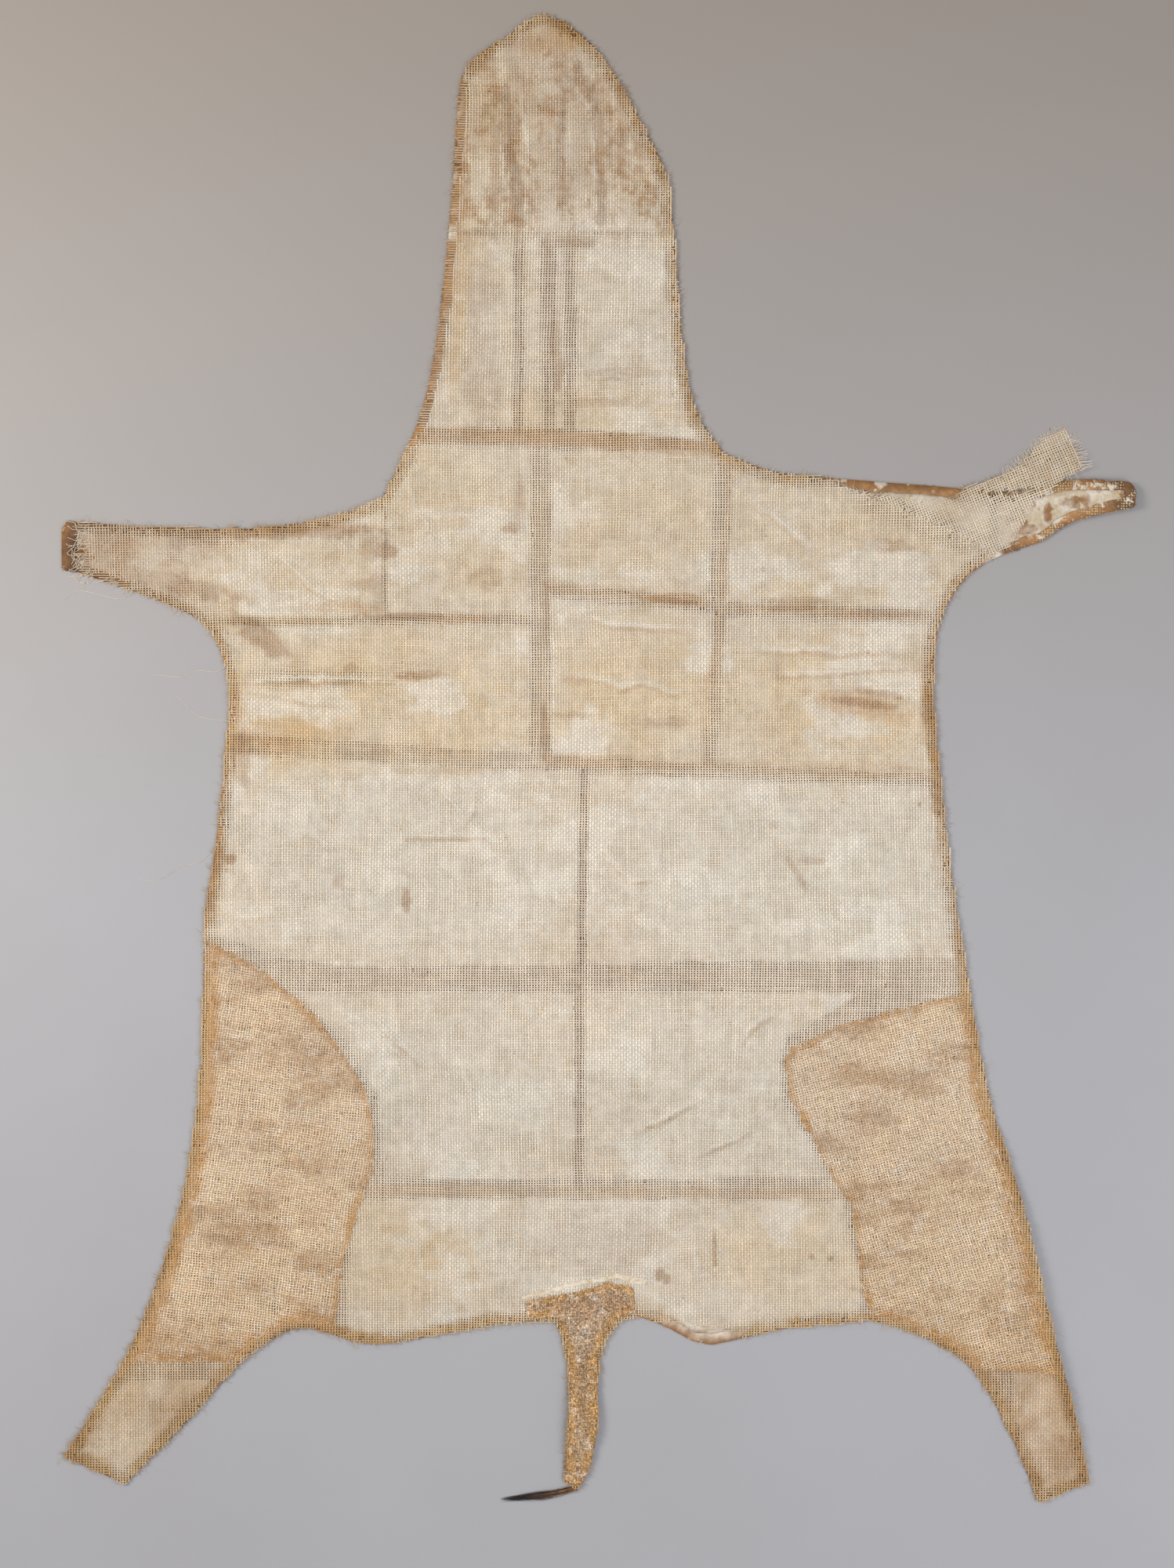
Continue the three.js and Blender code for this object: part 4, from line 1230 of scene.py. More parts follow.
@dataclass(frozen=True)
class PaintedFloor:
    """Worn matt floor paint: pale grey with faint cloudy wear, and painted shade that makes it darker and
    browner towards +Y.
    """
    name: str = "pale_grey_floor_paint"
    paint: str = "#B5B6BA"
    worn: str = "#AAA9AA"
    front_shade: str = "#A49B92"
    roughness: float = 0.6

    def build(self) -> bpy.types.Material:
        """Grey mixed with a slightly darker grey by a broad noise, then with a darker, browner grey
        towards +Y as painted shade.

        Returns:
            The material.
        """
        material, tree, place = new_tree(self.name)
        cloud = add_node(tree, "TexNoise", {
            "Vector": place, "Scale": 1.7, "Detail": 8.0, "Roughness": 0.6})
        worn = add_node(tree, "Mix", {
            0: cloud, 6: (*linear(self.paint), 1.0), 7: (*linear(self.worn), 1.0)}, 2, data_type="RGBA")
        parts = add_node(tree, "SeparateXYZ", {0: place})
        # Painted shade: darker and browner towards +Y, the rug's front.
        front = add_node(tree, "MapRange", {
            "Value": parts.node.outputs[1], "From Min": -0.2, "From Max": 1.3})
        body = add_node(tree, "Mix", {
            0: front, 6: worn, 7: (*linear(self.front_shade), 1.0)}, 2, data_type="RGBA")
        return closed(material, {"Base Color": body, "Roughness": self.roughness, "IOR": 1.5})


# Sub-assemblies.

@dataclass
class Studio:
    """The floor, the lights and the camera above the rug, in metres and watts.

    Attributes:
        eye: Where the camera stands, looking straight down.
        key: Place, side, power and colour of the lamp at the upper left.
        fill: The same of the softer lamp at the lower right.
        air: The colour and strength of the pale world.
        floor_drop: How far the floor lies below the rug.
    """
    lens: float = 50.0
    sensor: float = 36.0
    eye: Colour = (-0.0182, -0.0416, 3.611)
    key: tuple[Colour, float, float, str] = ((-2.9, 0.6, 2.5), 1.5, 86.0, "#FFF8F0")
    fill: tuple[Colour, float, float, str] = ((2.3, -1.4, 3.1), 3.0, 74.0, "#F8F8FF")
    air: tuple[str, float] = ("#F2F3F6", 0.42)
    floor_size: float = 60.0
    floor_drop: float = 0.00005

    def build(self) -> None:
        """Sets the camera straight above, one broad lamp at the upper left, and a pale world."""
        camera = bpy.data.objects.new("camera", bpy.data.cameras.new("camera"))
        camera.data.lens = self.lens
        camera.data.sensor_width = self.sensor
        camera.location = self.eye
        bpy.context.scene.collection.objects.link(camera)
        bpy.context.scene.camera = camera
        self.lamp("key_lamp", *self.key)
        self.lamp("fill_lamp", *self.fill)
        world = bpy.data.worlds.new("studio_air")
        world.use_nodes = True
        sky = world.node_tree.nodes["Background"].inputs
        sky["Color"].default_value = (*linear(self.air[0]), 1.0)
        sky["Strength"].default_value = self.air[1]
        bpy.context.scene.world = world
        bpy.context.scene.view_settings.view_transform = "Standard"
        self.floor()

    def lamp(self, name: str, place: Colour, size: float, power: float, colour: str) -> None:
        """Adds a square lamp that faces the rug's middle.

        Args:
            name: The lamp's name.
            place: Where it hangs, in metres.
            size: Its side, in metres.
            power: Its power in watts.
            colour: Its colour, as sRGB hex.
        """
        light = bpy.data.lights.new(name, "AREA")
        light.size = size
        light.energy = power
        light.color = linear(colour)
        holder = bpy.data.objects.new(name, light)
        holder.location = place
        holder.rotation_euler = (-Vector(place)).to_track_quat("-Z", "Y").to_euler()
        bpy.context.scene.collection.objects.link(holder)

    def floor(self) -> None:
        """A plain square floor just under the rug."""
        half = self.floor_size / 2 / MM
        low = -self.floor_drop / MM
        corners = np.array([(x * half, y * half, low) for x, y in ((-1, -1), (1, -1), (1, 1), (-1, 1))])
        plate = Surface(corners, np.array([[0, 1, 2, 3]]), np.ones((4, 3)))
        plate.make("floor", [PaintedFloor().build()])


@dataclass
class Hide:
    """The tanned skin, flesh side up, with zebra hair below and a fringe of hair at its edge.

    Attributes:
        spacing: Distance between the points of its mesh, in mm.
        edge_step: Distance between points along its edge, in mm.
        hairs: How many hairs stand at its edge, hair_points along each.
        hair_long: The longest of them, in mm.
    """
    dye: Dye
    spacing: float = 12.0
    edge_step: float = 6.0
    hairs: int = 5200
    hair_points: int = 4
    hair_long: float = 7.0
    hair_width: float = 0.55

    def stripes(self, x: Array, y: Array) -> Array:
        """Zebra stripes: bars across the trunk, tilted back at the flanks, rings on legs and tail.

        Args:
            x, y: Places across and along, in mm.
        Returns:
            Values from 0 to 1, black where above about a half: the sine of the way along the trunk,
            bent forwards with the distance from the spine and turned to run across each leg.
        """
        side = np.abs(x + 20)
        bend = 0.35 * side * smoothstep(900, -900, y) + 18 * fractal(x, y, 180, 501)
        trunk = np.sin((y + bend) / 17.0)
        rear = smoothstep(-350, -800, y) * smoothstep(150, 420, side)
        legs = np.sin((y * 0.6 + side * 0.9 + 14 * fractal(x, y, 120, 507)) / 14.0)
        fore = smoothstep(330, 520, side) * smoothstep(200, 330, y)
        rings = np.sin((side + 10 * fractal(x, y, 90, 511)) / 11.0)
        wave = trunk * (1 - rear) * (1 - fore) + legs * rear + rings * fore
        spine = 1 - smoothstep(6, 12, side)
        return np.clip(0.5 * wave + 0.25 + spine, 0, 1)

    def build(self) -> None:
        """Makes the skin as a closed sheet on the CAD edge, and hangs its edge hair on it."""
        loop = even_loop(node_loops("hide")[0], self.edge_step)
        points, triangles = triangulated(loop, self.spacing, 11)
        x, y = points[:, 0], points[:, 1]
        lift = RELIEF.hide(x, y)
        sheet = slab(points, triangles, lift + HIDE_TOP, lift, self.dye.skin(x, y))
        # Dried glue shows where the scrim is torn off: the right foreleg, its front edge and the rim.
        uncovered = (x > 380) * (x < 620) * (y > 425) * 0.9
        bare = np.maximum(smoothstep(600, 690, x) * (y > FORELEGS), uncovered)
        bare = np.maximum(bare, 0.55 * (1 - smoothstep(4, 16, self.dye.rug.at(x, y))))
        sheet.extra = {"Glue": np.tile(bare, 2), "Stripe": np.tile(self.stripes(x, y), 2)}
        skin = sheet.make("hide_skin", [TannedSkin().build(), ZebraHair().build()])
        declare(skin, "hide")
        self.edge_hair(loop)

    def edge_hair(self, loop: Array) -> None:
        """Lays short hairs outwards from under the skin's edge, each a thin strip bent to one side.

        Args:
            loop: The skin's edge, in mm.
        """
        rng = np.random.default_rng(23)
        pick = rng.integers(0, len(loop), self.hairs)
        way = rng.random(self.hairs)[:, None]
        after = np.roll(loop, -1, axis=0)
        root = loop[pick] * (1 - way) + after[pick] * way
        along = after[pick] - loop[pick]
        along /= np.linalg.norm(along, axis=1, keepdims=True)
        out = np.stack([along[:, 1], -along[:, 0]], axis=1)
        inward = self.dye.rug.at(root[:, 0] + out[:, 0] * 4, root[:, 1] + out[:, 1] * 4) > 0
        out[inward] *= -1
        long = self.hair_long * rng.uniform(0.25, 1.0, self.hairs) ** 1.5
        lean = rng.normal(0, 0.6, self.hairs)
        t = np.linspace(0, 1, self.hair_points)[None, :, None]
        heading = out[:, None, :] + along[:, None, :] * lean[:, None, None] * t
        plan = root[:, None, :] - out[:, None, :] * 1.5 + heading * long[:, None, None] * t
        lift = RELIEF.hide(root[:, 0], root[:, 1])
        z = np.broadcast_to((lift + rng.uniform(0.3, 2.2, self.hairs))[:, None], plan.shape[:2])
        z = z - t[..., 0] * np.minimum(0.2, lift[:, None])
        dark = self.stripes(root[:, 0], root[:, 1]) > 0.5
        tint = np.where(dark[:, None], COAT_DARK, COAT_PALE)
        tint = tint * rng.uniform(0.7, 1.2, (self.hairs, 1))
        widths = self.hair_width * (1.05 - t[..., 0]) * np.ones((self.hairs, 1))
        tints = np.repeat(tint[:, None, :], self.hair_points, axis=1)
        strips = ribbons(np.dstack([plan, z]), widths, tints)
        piece = strips.make("hide_edge_hair", [TailHair("short_zebra_hair", 0.55).build()])
        declare(piece)


@dataclass
class Linings:
    """The stiff white panels glued to the skin's back.

    Attributes:
        names: Their CAD nodes.
        spacing: Distance between the points of a mesh, in mm.
        finer: Words in a panel's name, with the closer spacing that it has.
        edge_step: Distance between points along an edge, in mm.
        ragged: How far an edge wanders, in mm.
        pressed: How far the middle of a panel swells, in mm.
        least_share: Part of its rectangle that a panel's flat area is given as, at least; not used.
        closed: Words in the names of panels that leave hardly any gap.
    """
    dye: Dye
    names: list[str]
    spacing: float = 5.2
    finer: tuple[tuple[str, float], ...] = (("tip", 2.6), ("head", 3.8))
    edge_step: float = 5.0
    ragged: float = 4.5
    pressed: float = 0.4
    least_share: float = 0.31
    closed: tuple[str, ...] = ("foreleg_left", "shoulder_left", "side_left", "head", "neck_left")

    def build(self) -> None:
        """Makes each panel with a cut edge that wanders a few millimetres inwards."""
        felt = StiffFelt().build()
        for number, name in enumerate(self.names):
            loop = even_loop(node_loops(name)[0], self.edge_step)
            bent = self.ragged_edge(loop, number)
            spacing = next((fine for word, fine in self.finer if word in name), self.spacing)
            points, triangles = triangulated(bent, spacing, 40 + number)
            x, y = points[:, 0], points[:, 1]
            inside = Distance([bent]).at(x, y)
            lift = RELIEF.hide(x, y)
            bulge = np.clip((RELIEF.wrinkles(x, y) + self.pressed) * smoothstep(0, 9, inside), -0.6, 3.6)
            tight = any(word in name for word in self.closed)
            # A panel with hardly a gap round it isn't browned at its own edge.
            tint = self.dye.panel(x, y, inside + 20.0 * tight)
            sheet = slab(points, triangles, lift + LINING_TOP + bulge, lift + LINING_FOOT, tint)
            panel = sheet.make(name + "_felt", [felt, felt])
            declare(panel, name)
            LOG.info("%s: %d triangles", name, len(sheet.faces))

    def ragged_edge(self, loop: Array, number: int) -> Array:
        """Moves each edge point inwards by a noise of 30 mm and one of 9 mm waves.

        Args:
            loop: The panel's edge, in mm.
            number: Picks the noise.
        Returns:
            The new edge.
        """
        along = np.roll(loop, -1, axis=0) - np.roll(loop, 1, axis=0)
        along /= np.linalg.norm(along, axis=1, keepdims=True) + 1e-9
        turn = np.sum(loop[:, 0] * np.roll(loop[:, 1], -1) - np.roll(loop[:, 0], -1) * loop[:, 1])
        inwards = np.stack([-along[:, 1], along[:, 0]], axis=1) * np.sign(turn)
        thin = min(1.0, float(np.ptp(loop, axis=0).min()) / 60.0)
        x, y = loop[:, 0], loop[:, 1]
        closing = 0.45 if any(word in self.names[number] for word in self.closed) else 0.0
        move = 0.1 - closing + 0.75 * noise(x, y, 34, 600 + number) + 0.35 * noise(x, y, 10, 640 + number)
        return loop + inwards * (self.ragged * thin * np.clip(move, -0.6, 1.1))[:, None]


@dataclass
class Weave:
    """One piece of open plain weave, laid as flat threads that pass over and under each other.

    Attributes:
        region: Distance inwards from the cloth's edge.
        middle: Height of the cloth's middle above the skin's underside, in mm.
        turn: Angle of the weft to the rug's width, in degrees.
        lights: Brightness of warp and weft.
        sway: How much of the slow bend of the threads it has.
        dip: How far a thread stands above or below the middle at a crossing, in mm.
        hem: How far inwards the threads end, in mm.
        dirt: How strongly stains, flecks and dried glue show.
        tangle: How far crossings stray from their lines, in mm.
        worn: Share of the crossings without a thread.
        speckle: How much the brightness changes from one crossing to the next.
        tone: Colour that soaks the whole cloth, with its share, tone_share.
        rim: Colour along the cloth's edge, with its share, rim_share.
        warp_trim: Where warp threads are pulled out.
        ends: Where threads end, filled as they are laid.
    """
    region: Distance
    dye: Dye
    seed: int
    middle: float = SCRIM_MIDDLE
    turn: float = 0.0
    warp_pitch: float = 4.6
    weft_pitch: float = 4.0
    warp_width: float = 2.35
    weft_width: float = 1.95
    lights: tuple[float, float] = (1.07, 0.9)
    sway: float = 1.0
    dip: float = 0.38
    hem: float = 1.0
    dirt: float = 0.0
    tangle: float = 0.0
    worn: float = 0.0015
    speckle: float = 0.0
    tone: Colour | None = None
    tone_share: float = 0.0
    rim: Colour = ORANGE
    rim_share: float = 0.0
    warp_trim: tuple[Spot, ...] = ()
    ends: list[Array] = field(default_factory=list)

    def lattice(self) -> tuple[Array, Array]:
        """Places of the crossings: an even lattice, turned, each thread a little off, then swayed.

        Returns:
            Places across and along, rows by columns, in mm.
        """
        rng = np.random.default_rng(self.seed)
        shape = np.array(self.region.grid.shape[::-1]) * self.region.cell
        centre = self.region.low + shape / 2
        turn = np.radians(self.turn)
        cos, sin = np.cos(turn), np.sin(turn)
        reach = np.abs([[cos, sin], [sin, cos]]) @ (shape / 2 - FAR_INSIDE + 12)
        columns = np.arange(-int(reach[0] / self.warp_pitch), int(reach[0] / self.warp_pitch) + 1)
        rows = np.arange(-int(reach[1] / self.weft_pitch), int(reach[1] / self.weft_pitch) + 1)
        a = columns * self.warp_pitch + rng.normal(0, 0.2, len(columns))
        b = rows * self.weft_pitch + rng.normal(0, 0.18, len(rows))
        u, v = np.meshgrid(a, b)
        x = centre[0] + u * cos - v * sin
        y = centre[1] + u * sin + v * cos
        bend_x = 4.2 * noise(x, y, 430, 801) + 1.9 * noise(x, y, 130, 802) + 0.55 * noise(x, y, 34, 803)
        bend_y = 4.6 * noise(x, y, 460, 811) + 2.0 * noise(x, y, 140, 812) + 0.55 * noise(x, y, 36, 813)
        bend_x += self.tangle * (noise(x, y, 13, 821) + 0.6 * noise(x, y, 6, 822))
        bend_y += self.tangle * (noise(x, y, 13, 823) + 0.6 * noise(x, y, 6, 824))
        x = x + self.sway * bend_x + rng.normal(0, 0.13, x.shape)
        y = y + self.sway * bend_y + rng.normal(0, 0.13, y.shape)
        return x, y

    def threads(self, run: Run, x: Array, y: Array) -> Surface:
        """All threads of one direction as strips, two triangles from one crossing to the next.

        A strip's middle follows the crossings of its thread. It stands above the cloth's middle
        where it passes over and below it where it passes under, turn by turn.

        Args:
            run: The direction.
            x, y: The crossings' places, in mm.
        Returns:
            The threads' surface.
        """
        rng = np.random.default_rng(self.seed + 5 + run.value)
        rows, columns = np.indices(x.shape)
        over = 1.0 - 2.0 * ((rows + columns + run.value) % 2)
        if run is Run.WEFT:
            x, y, over = x.T, y.T, over.T
        heading_x, heading_y = np.gradient(x, axis=0), np.gradient(y, axis=0)
        size = np.hypot(heading_x, heading_y)
        side_x, side_y = -heading_y / size, heading_x / size
        count = x.shape[1]
        width = self.warp_width if run is Run.WARP else self.weft_width
        number = np.broadcast_to(np.arange(count)[None, :] * 97.0, x.shape)
        slub = noise(number, y if run is Run.WARP else x, 60, self.seed + 27)
        half = 0.5 * width * self.swollen(x, y, slub)
        trim = self.hem + 2.0 * noise(x, y, 26, self.seed + 41) + rng.normal(0, 1.2, count)[None, :]
        if run is Run.WARP:
            trim = trim + 15.0 * layered(x, y, self.warp_trim)
        deep = self.region.at(x, y)
        kept = (deep > trim) & (rng.random(x.shape) > self.worn + 0.03 * (deep < 10))
        joined = kept[:-1] & kept[1:]
        index = np.arange(x.size).reshape(x.shape)
        a, b = index[:-1][joined], index[1:][joined]
        height = RELIEF.scrim(x, y) + self.middle + self.dip * over
        left = np.stack([x + half * side_x, y + half * side_y, height], axis=2).reshape(-1, 3)
        right = np.stack([x - half * side_x, y - half * side_y, height], axis=2).reshape(-1, 3)
        points = np.stack([left, right], axis=1).reshape(-1, 3)
        faces = np.stack([2 * a, 2 * a + 1, 2 * b + 1, 2 * b], axis=1)
        light = self.lights[run.value] + 0.07 * slub + 0.08 * noise(x, y, 11, self.seed + 61)
        tint = self.tints(x, y, deep, light)
        tint = tint * (1 + self.speckle * rng.uniform(-1, 1, x.shape))[..., None]
        run_long = np.cumsum(size, axis=0)
        yarn = np.stack([np.broadcast_to([0.0, 1.0], x.shape + (2,)),
                         np.repeat(run_long[..., None], 2, axis=2)], axis=3).reshape(-1, 2)
        self.note_ends(kept, x, y, heading_x / size, heading_y / size, height, tint)
        used, new = np.unique(faces, return_inverse=True)
        colours = np.repeat(tint.reshape(-1, 3), 2, axis=0)
        return Surface(points[used], new.reshape(faces.shape), colours[used], yarn[used])

    def swollen(self, x: Array, y: Array, slub: Array) -> Array:
        """How much wider than its yarn a thread is: slubs, and glue that spreads it on the main cloth.

        Args:
            x, y: The crossings' places, in mm.
            slub: Thick and thin along each thread, from -1 to 1.
        Returns:
            Factors for the width.
        """
        wider = 1 + 0.14 * slub + 0.14 * noise(x, y, 40, self.seed + 31)
        if self.tone is None:
            under = self.dye.soaked(x, y)
            wider = wider * (1 + 0.55 * self.dye.crust(x, y) ** 2 * (1 - under) + 0.4 * under)
            wider = wider * (1 - 0.2 * smoothstep(-600, -680, x) * (y > FORELEGS))
        return wider

    def tints(self, x: Array, y: Array, deep: Array, light: Array) -> Array:
        """Colour of the threads: the dye's own, and on a second layer its tone, rim and dirt.

        Args:
            x, y: The crossings' places, in mm.
            deep: Their distance from the cloth's edge, in mm.
            light: Their brightness.
        Returns:
            Linear colours.
        """
        tint = self.dye.thread(x, y, self.seed % 7 + 5) * light[..., None]
        if self.tone is None:
            return blend(tint, SOAKED, 0.45 * self.dye.soaked(x, y))
        rim = 1 - smoothstep(5, 19, deep + 5 * noise(x, y, 30, self.seed + 65))
        rim = rim * (1 + 0.5 * noise(x, y, 9, self.seed + 67))
        stained = smoothstep(-0.15, 0.6, fractal(x * 0.6, y * 1.2, 46, self.seed + 81))
        flecks = smoothstep(0.2, 0.7, noise(x * 0.7, y, 7, self.seed + 83))
        glue = smoothstep(0.1, 0.7, fractal(x, y, 14, self.seed + 95))
        tint = blend(tint, self.tone, self.tone_share * (1 + 0.5 * fractal(x, y, 60, self.seed + 71)))
        tint = blend(tint, self.rim, self.rim_share * rim)
        tint = blend(tint, STAIN, self.dirt * stained)
        tint = blend(tint, BROWN, self.dirt * 0.7 * flecks * (0.3 + 0.7 * stained))
        return blend(tint, CRUST, self.dirt * 0.8 * glue)

    def note_ends(self, kept: Array, x: Array, y: Array, dx: Array, dy: Array, z: Array,
                  tint: Array) -> None:
        """Remembers where threads end near the cloth's edge, and which way each end points.

        Args:
            kept: Which crossings have thread.
            x, y, z: Their places, in mm.
            dx, dy: Their threads' heading.
            tint: Their colours.
        """
        near = np.abs(self.region.at(x, y)) < 9
        table = np.dstack([x, y, z, dx, dy, tint[..., 0], tint[..., 1], tint[..., 2]])
        last = kept[:-1] & ~kept[1:] & near[:-1]
        first = kept[1:] & ~kept[:-1] & near[1:]
        backwards = table[1:][first].copy()
        backwards[:, 3:5] *= -1
        self.ends.append(np.concatenate([table[:-1][last], backwards]))

    def cloth(self, share: float, long: float) -> Surface:
        """Both sets of threads and the frayed ends.

        Args:
            share: Part of the ends that fray.
            long: The longest frayed fibre, in mm.
        Returns:
            The whole cloth's surface.
        """
        x, y = self.lattice()
        sheet = self.threads(Run.WARP, x, y).joined(self.threads(Run.WEFT, x, y))
        return sheet.joined(self.frays(share, long))

    def frays(self, share: float, long: float) -> Surface:
        """Loose fibres that go on past the ends of some threads, bent to one side and down.

        Args:
            share: Part of the ends that fray.
            long: The longest fibre, in mm.
        Returns:
            The fibres' surface.
        """
        rng = np.random.default_rng(self.seed + 91)
        ends = np.concatenate(self.ends)
        ends = np.repeat(ends[rng.random(len(ends)) < share], 2, axis=0)
        count = len(ends)
        t = np.linspace(0, 1, 4)[None, :]
        reach = (long * rng.uniform(0.15, 1.0, count) ** 2)[:, None]
        bend = rng.normal(0, 0.5, count)[:, None]
        start = rng.uniform(-0.8, 0.8, count)[:, None]
        dx, dy = ends[:, 3:4], ends[:, 4:5]
        px = ends[:, 0:1] - dy * start + dx * reach * t - dy * bend * reach * t * t
        py = ends[:, 1:2] + dx * start + dy * reach * t + dx * bend * reach * t * t
        pz = np.maximum(0.4, ends[:, 2:3] - 0.25 * reach * t * t)
        tint = np.repeat(ends[:, None, 5:8], 4, axis=1)
        return ribbons(np.dstack([px, py, pz]), np.full((count, 4), 0.55) * (1.15 - 0.6 * t), tint)


@dataclass
class Scrim:
    """The open-weave cloth over the panels, with its torn flap and loose threads.

    Attributes:
        bands: The pieces that the cloth is split into, each between two places along.
        edge_gap: How far the cloth keeps from the skin's edge, in mm.
        overhang: How far it may pass its CAD node's edge to get there, in mm.
        crease: The line that the torn flap is folded along.
        beyond: Corners round the flap past the crease.
        end_x: Where the cloth is frayed away at the left foreleg.
        loosened: Where warp threads are pulled out.
        tip_threads: How many short threads loop at the left foreleg's end.
        loose_points: Points along each loose thread, loose_width mm wide.
        fray_points: Points along each thread of the fringe, fray_width mm wide.
    """
    dye: Dye
    bands: tuple[tuple[str, float, float], ...] = (
        ("scrim_front", 215.0, 2000.0), ("scrim_middle", -400.0, 215.0), ("scrim_rear", -2000.0, -400.0))
    edge_gap: float = 0.8
    overhang: float = 14.0
    crease: Line = (
        (398, 452), (416, 444.6), (594, 373), (641, 344.5), (660, 300), (660, 200))
    beyond: Line = ((980, 200), (980, 700), (398, 700))
    end_x: float = -857.0
    loosened: tuple[Spot, ...] = (
        Spot(-645, -60, 30, 120, 0.6), Spot(-262, 780, 40, 400, 1.0, -6), Spot(-230, 1020, 20, 160, 1.0),
        Spot(-860, 340, 40, 80, 1.0), Spot(-800, 305, 60, 24, 0.8))
    tip_threads: int = 30
    loose_points: int = 26
    loose_width: float = 0.7
    fray_points: int = 6
    fray_width: float = 0.85

    def split(self, loops: list[Array]) -> tuple[Distance, Distance]:
        """The cloth's two regions, the main one and the flap beyond the crease.

        Args:
            loops: The cloth's closed edges, in mm.
        Returns:
            The main region and the flap, each as a distance, where both must be inside the edge and
            on its own side of the crease.
        """
        whole = Distance(loops)
        side = Distance([np.array(self.crease + self.beyond, dtype=float)])
        rows, columns = np.indices(whole.grid.shape)
        x = whole.low[0] + columns * whole.cell
        y = whole.low[1] + rows * whole.cell
        # The cloth reaches the skin's edge but at the right foreleg and the hem right of the tail.
        torn = ((x > 370) & (y > FORELEGS)) | ((x > 70) & (x < 330) & (y < -860))
        reach = np.minimum(self.dye.rug.at(x, y) - self.edge_gap, whole.grid + self.overhang)
        whole.grid = np.where(torn, whole.grid, np.maximum(whole.grid, reach))
        frayed = x - self.end_x + 9.0 * noise(x, y, 16, 89)
        whole.grid = np.where((x < -700) & (y > FORELEGS), np.minimum(whole.grid, frayed), whole.grid)
        beyond = side.at(x, y)
        right, top = self.beyond[1]
        outer = (x < side.low[0]) | (x > right + 40) | (y < side.low[1]) | (y > top + 40)
        beyond = np.where(outer, -FAR_INSIDE, beyond)
        flap = Distance(loops)
        flap.grid = np.minimum(flap.grid, beyond)
        whole.grid = np.minimum(whole.grid, 1.0 - beyond)
        return whole, flap

    def build(self) -> None:
        """Weaves the main cloth in three bands, then the flap, its fringe and the loose threads."""
        yarn = SpunYarn("sized_cotton_scrim").build()
        main, flap = self.split(node_loops("scrim"))
        cloth = Weave(main, self.dye, seed=3, warp_trim=self.loosened, hem=-2.6).cloth(0.55, 13.0)
        fringe = self.fringe(yarn)
        loose = self.loose_threads(yarn)
        along = cloth.points[cloth.faces[:, 0], 1]
        for name, low, high in self.bands:
            self.piece(name, cloth, (along >= low) & (along < high), yarn, [fringe, loose])
        torn = Weave(flap, self.dye, seed=17, turn=22.0, sway=0.8, warp_width=2.4, weft_width=2.15,
                     tone=FLAP, tone_share=0.3, dirt=0.22)
        sheet = torn.cloth(0.8, 16.0)
        self.piece("scrim_flap", sheet, np.ones(len(sheet.faces), dtype=bool), yarn, [fringe])

    def piece(self, name: str, cloth: Surface, chosen: Array, yarn: bpy.types.Material,
              trims: list[bpy.types.Object]) -> None:
        """Makes one declared piece of cloth from the chosen faces.

        Args:
            name: The piece's name.
            cloth: Threads to choose from.
            chosen: Which faces to take.
            yarn: The material.
            trims: The separate pieces that belong to the cloth; not used.
        """
        faces = cloth.faces[chosen]
        used, new = np.unique(faces, return_inverse=True)
        part = Surface(cloth.points[used], new.reshape(faces.shape), cloth.tint[used], cloth.yarn[used])
        piece = part.make(name, [yarn])
        declare(piece, "scrim")

    def fringe(self, yarn: bpy.types.Material) -> bpy.types.Object:
        """Threads frayed out of the flap's end and top edges, rooted on the flap.

        Args:
            yarn: The material.
        Returns:
            The fringe.
        """
        end = self.frayed_row(((805, 481), (781, 537)), 26, (24, 4), 31)
        edge = ((775, 546), (753, 543), (732, 528), (706, 498), (672, 470))
        top = self.frayed_row(edge, 54, (-6, 15), 37)
        piece = end.joined(top).make("flap_fringe_threads", [yarn])
        declare(piece, "flap_fringe")
        return piece

    def frayed_row(self, edge: Line, count: int, way: tuple[float, float], seed: int) -> Surface:
        """A row of threads from an edge, all one way with a little bend each.

        Args:
            edge: The edge's corners, in mm.
            count: How many threads.
            way: The mean reach, in mm.
            seed: For their differences.
        Returns:
            The threads' surface.
        """
        rng = np.random.default_rng(seed)
        corners = np.array(edge, dtype=float)
        run = np.concatenate([[0], np.cumsum(np.hypot(*np.diff(corners, axis=0).T))])
        places = np.linspace(0, run[-1], count) + rng.normal(0, 0.6, count)
        root = np.stack([np.interp(places, run, corners[:, k]) for k in range(2)], axis=1)
        t = np.linspace(0, 1, self.fray_points)[None, :, None]
        reach = np.array(way, dtype=float)[None, None, :] * rng.uniform(0.3, 1.1, (count, 1, 1))
        across = np.stack([-reach[..., 1], reach[..., 0]], axis=2)
        plan = root[:, None, :] + reach * (t - 0.25) + across * rng.normal(0, 0.26, (count, 1, 1)) * t * t
        z = np.maximum(0.5, RELIEF.scrim(plan[..., 0], plan[..., 1]) + SCRIM_MIDDLE)
        tint = np.broadcast_to(CREAM, plan.shape[:2] + (3,)) * rng.uniform(0.85, 1.05, (count, 1, 1))
        widths = self.fray_width * np.ones((count, self.fray_points)) * (1.1 - 0.4 * t[..., 0])
        return ribbons(np.dstack([plan, z]), widths, tint)

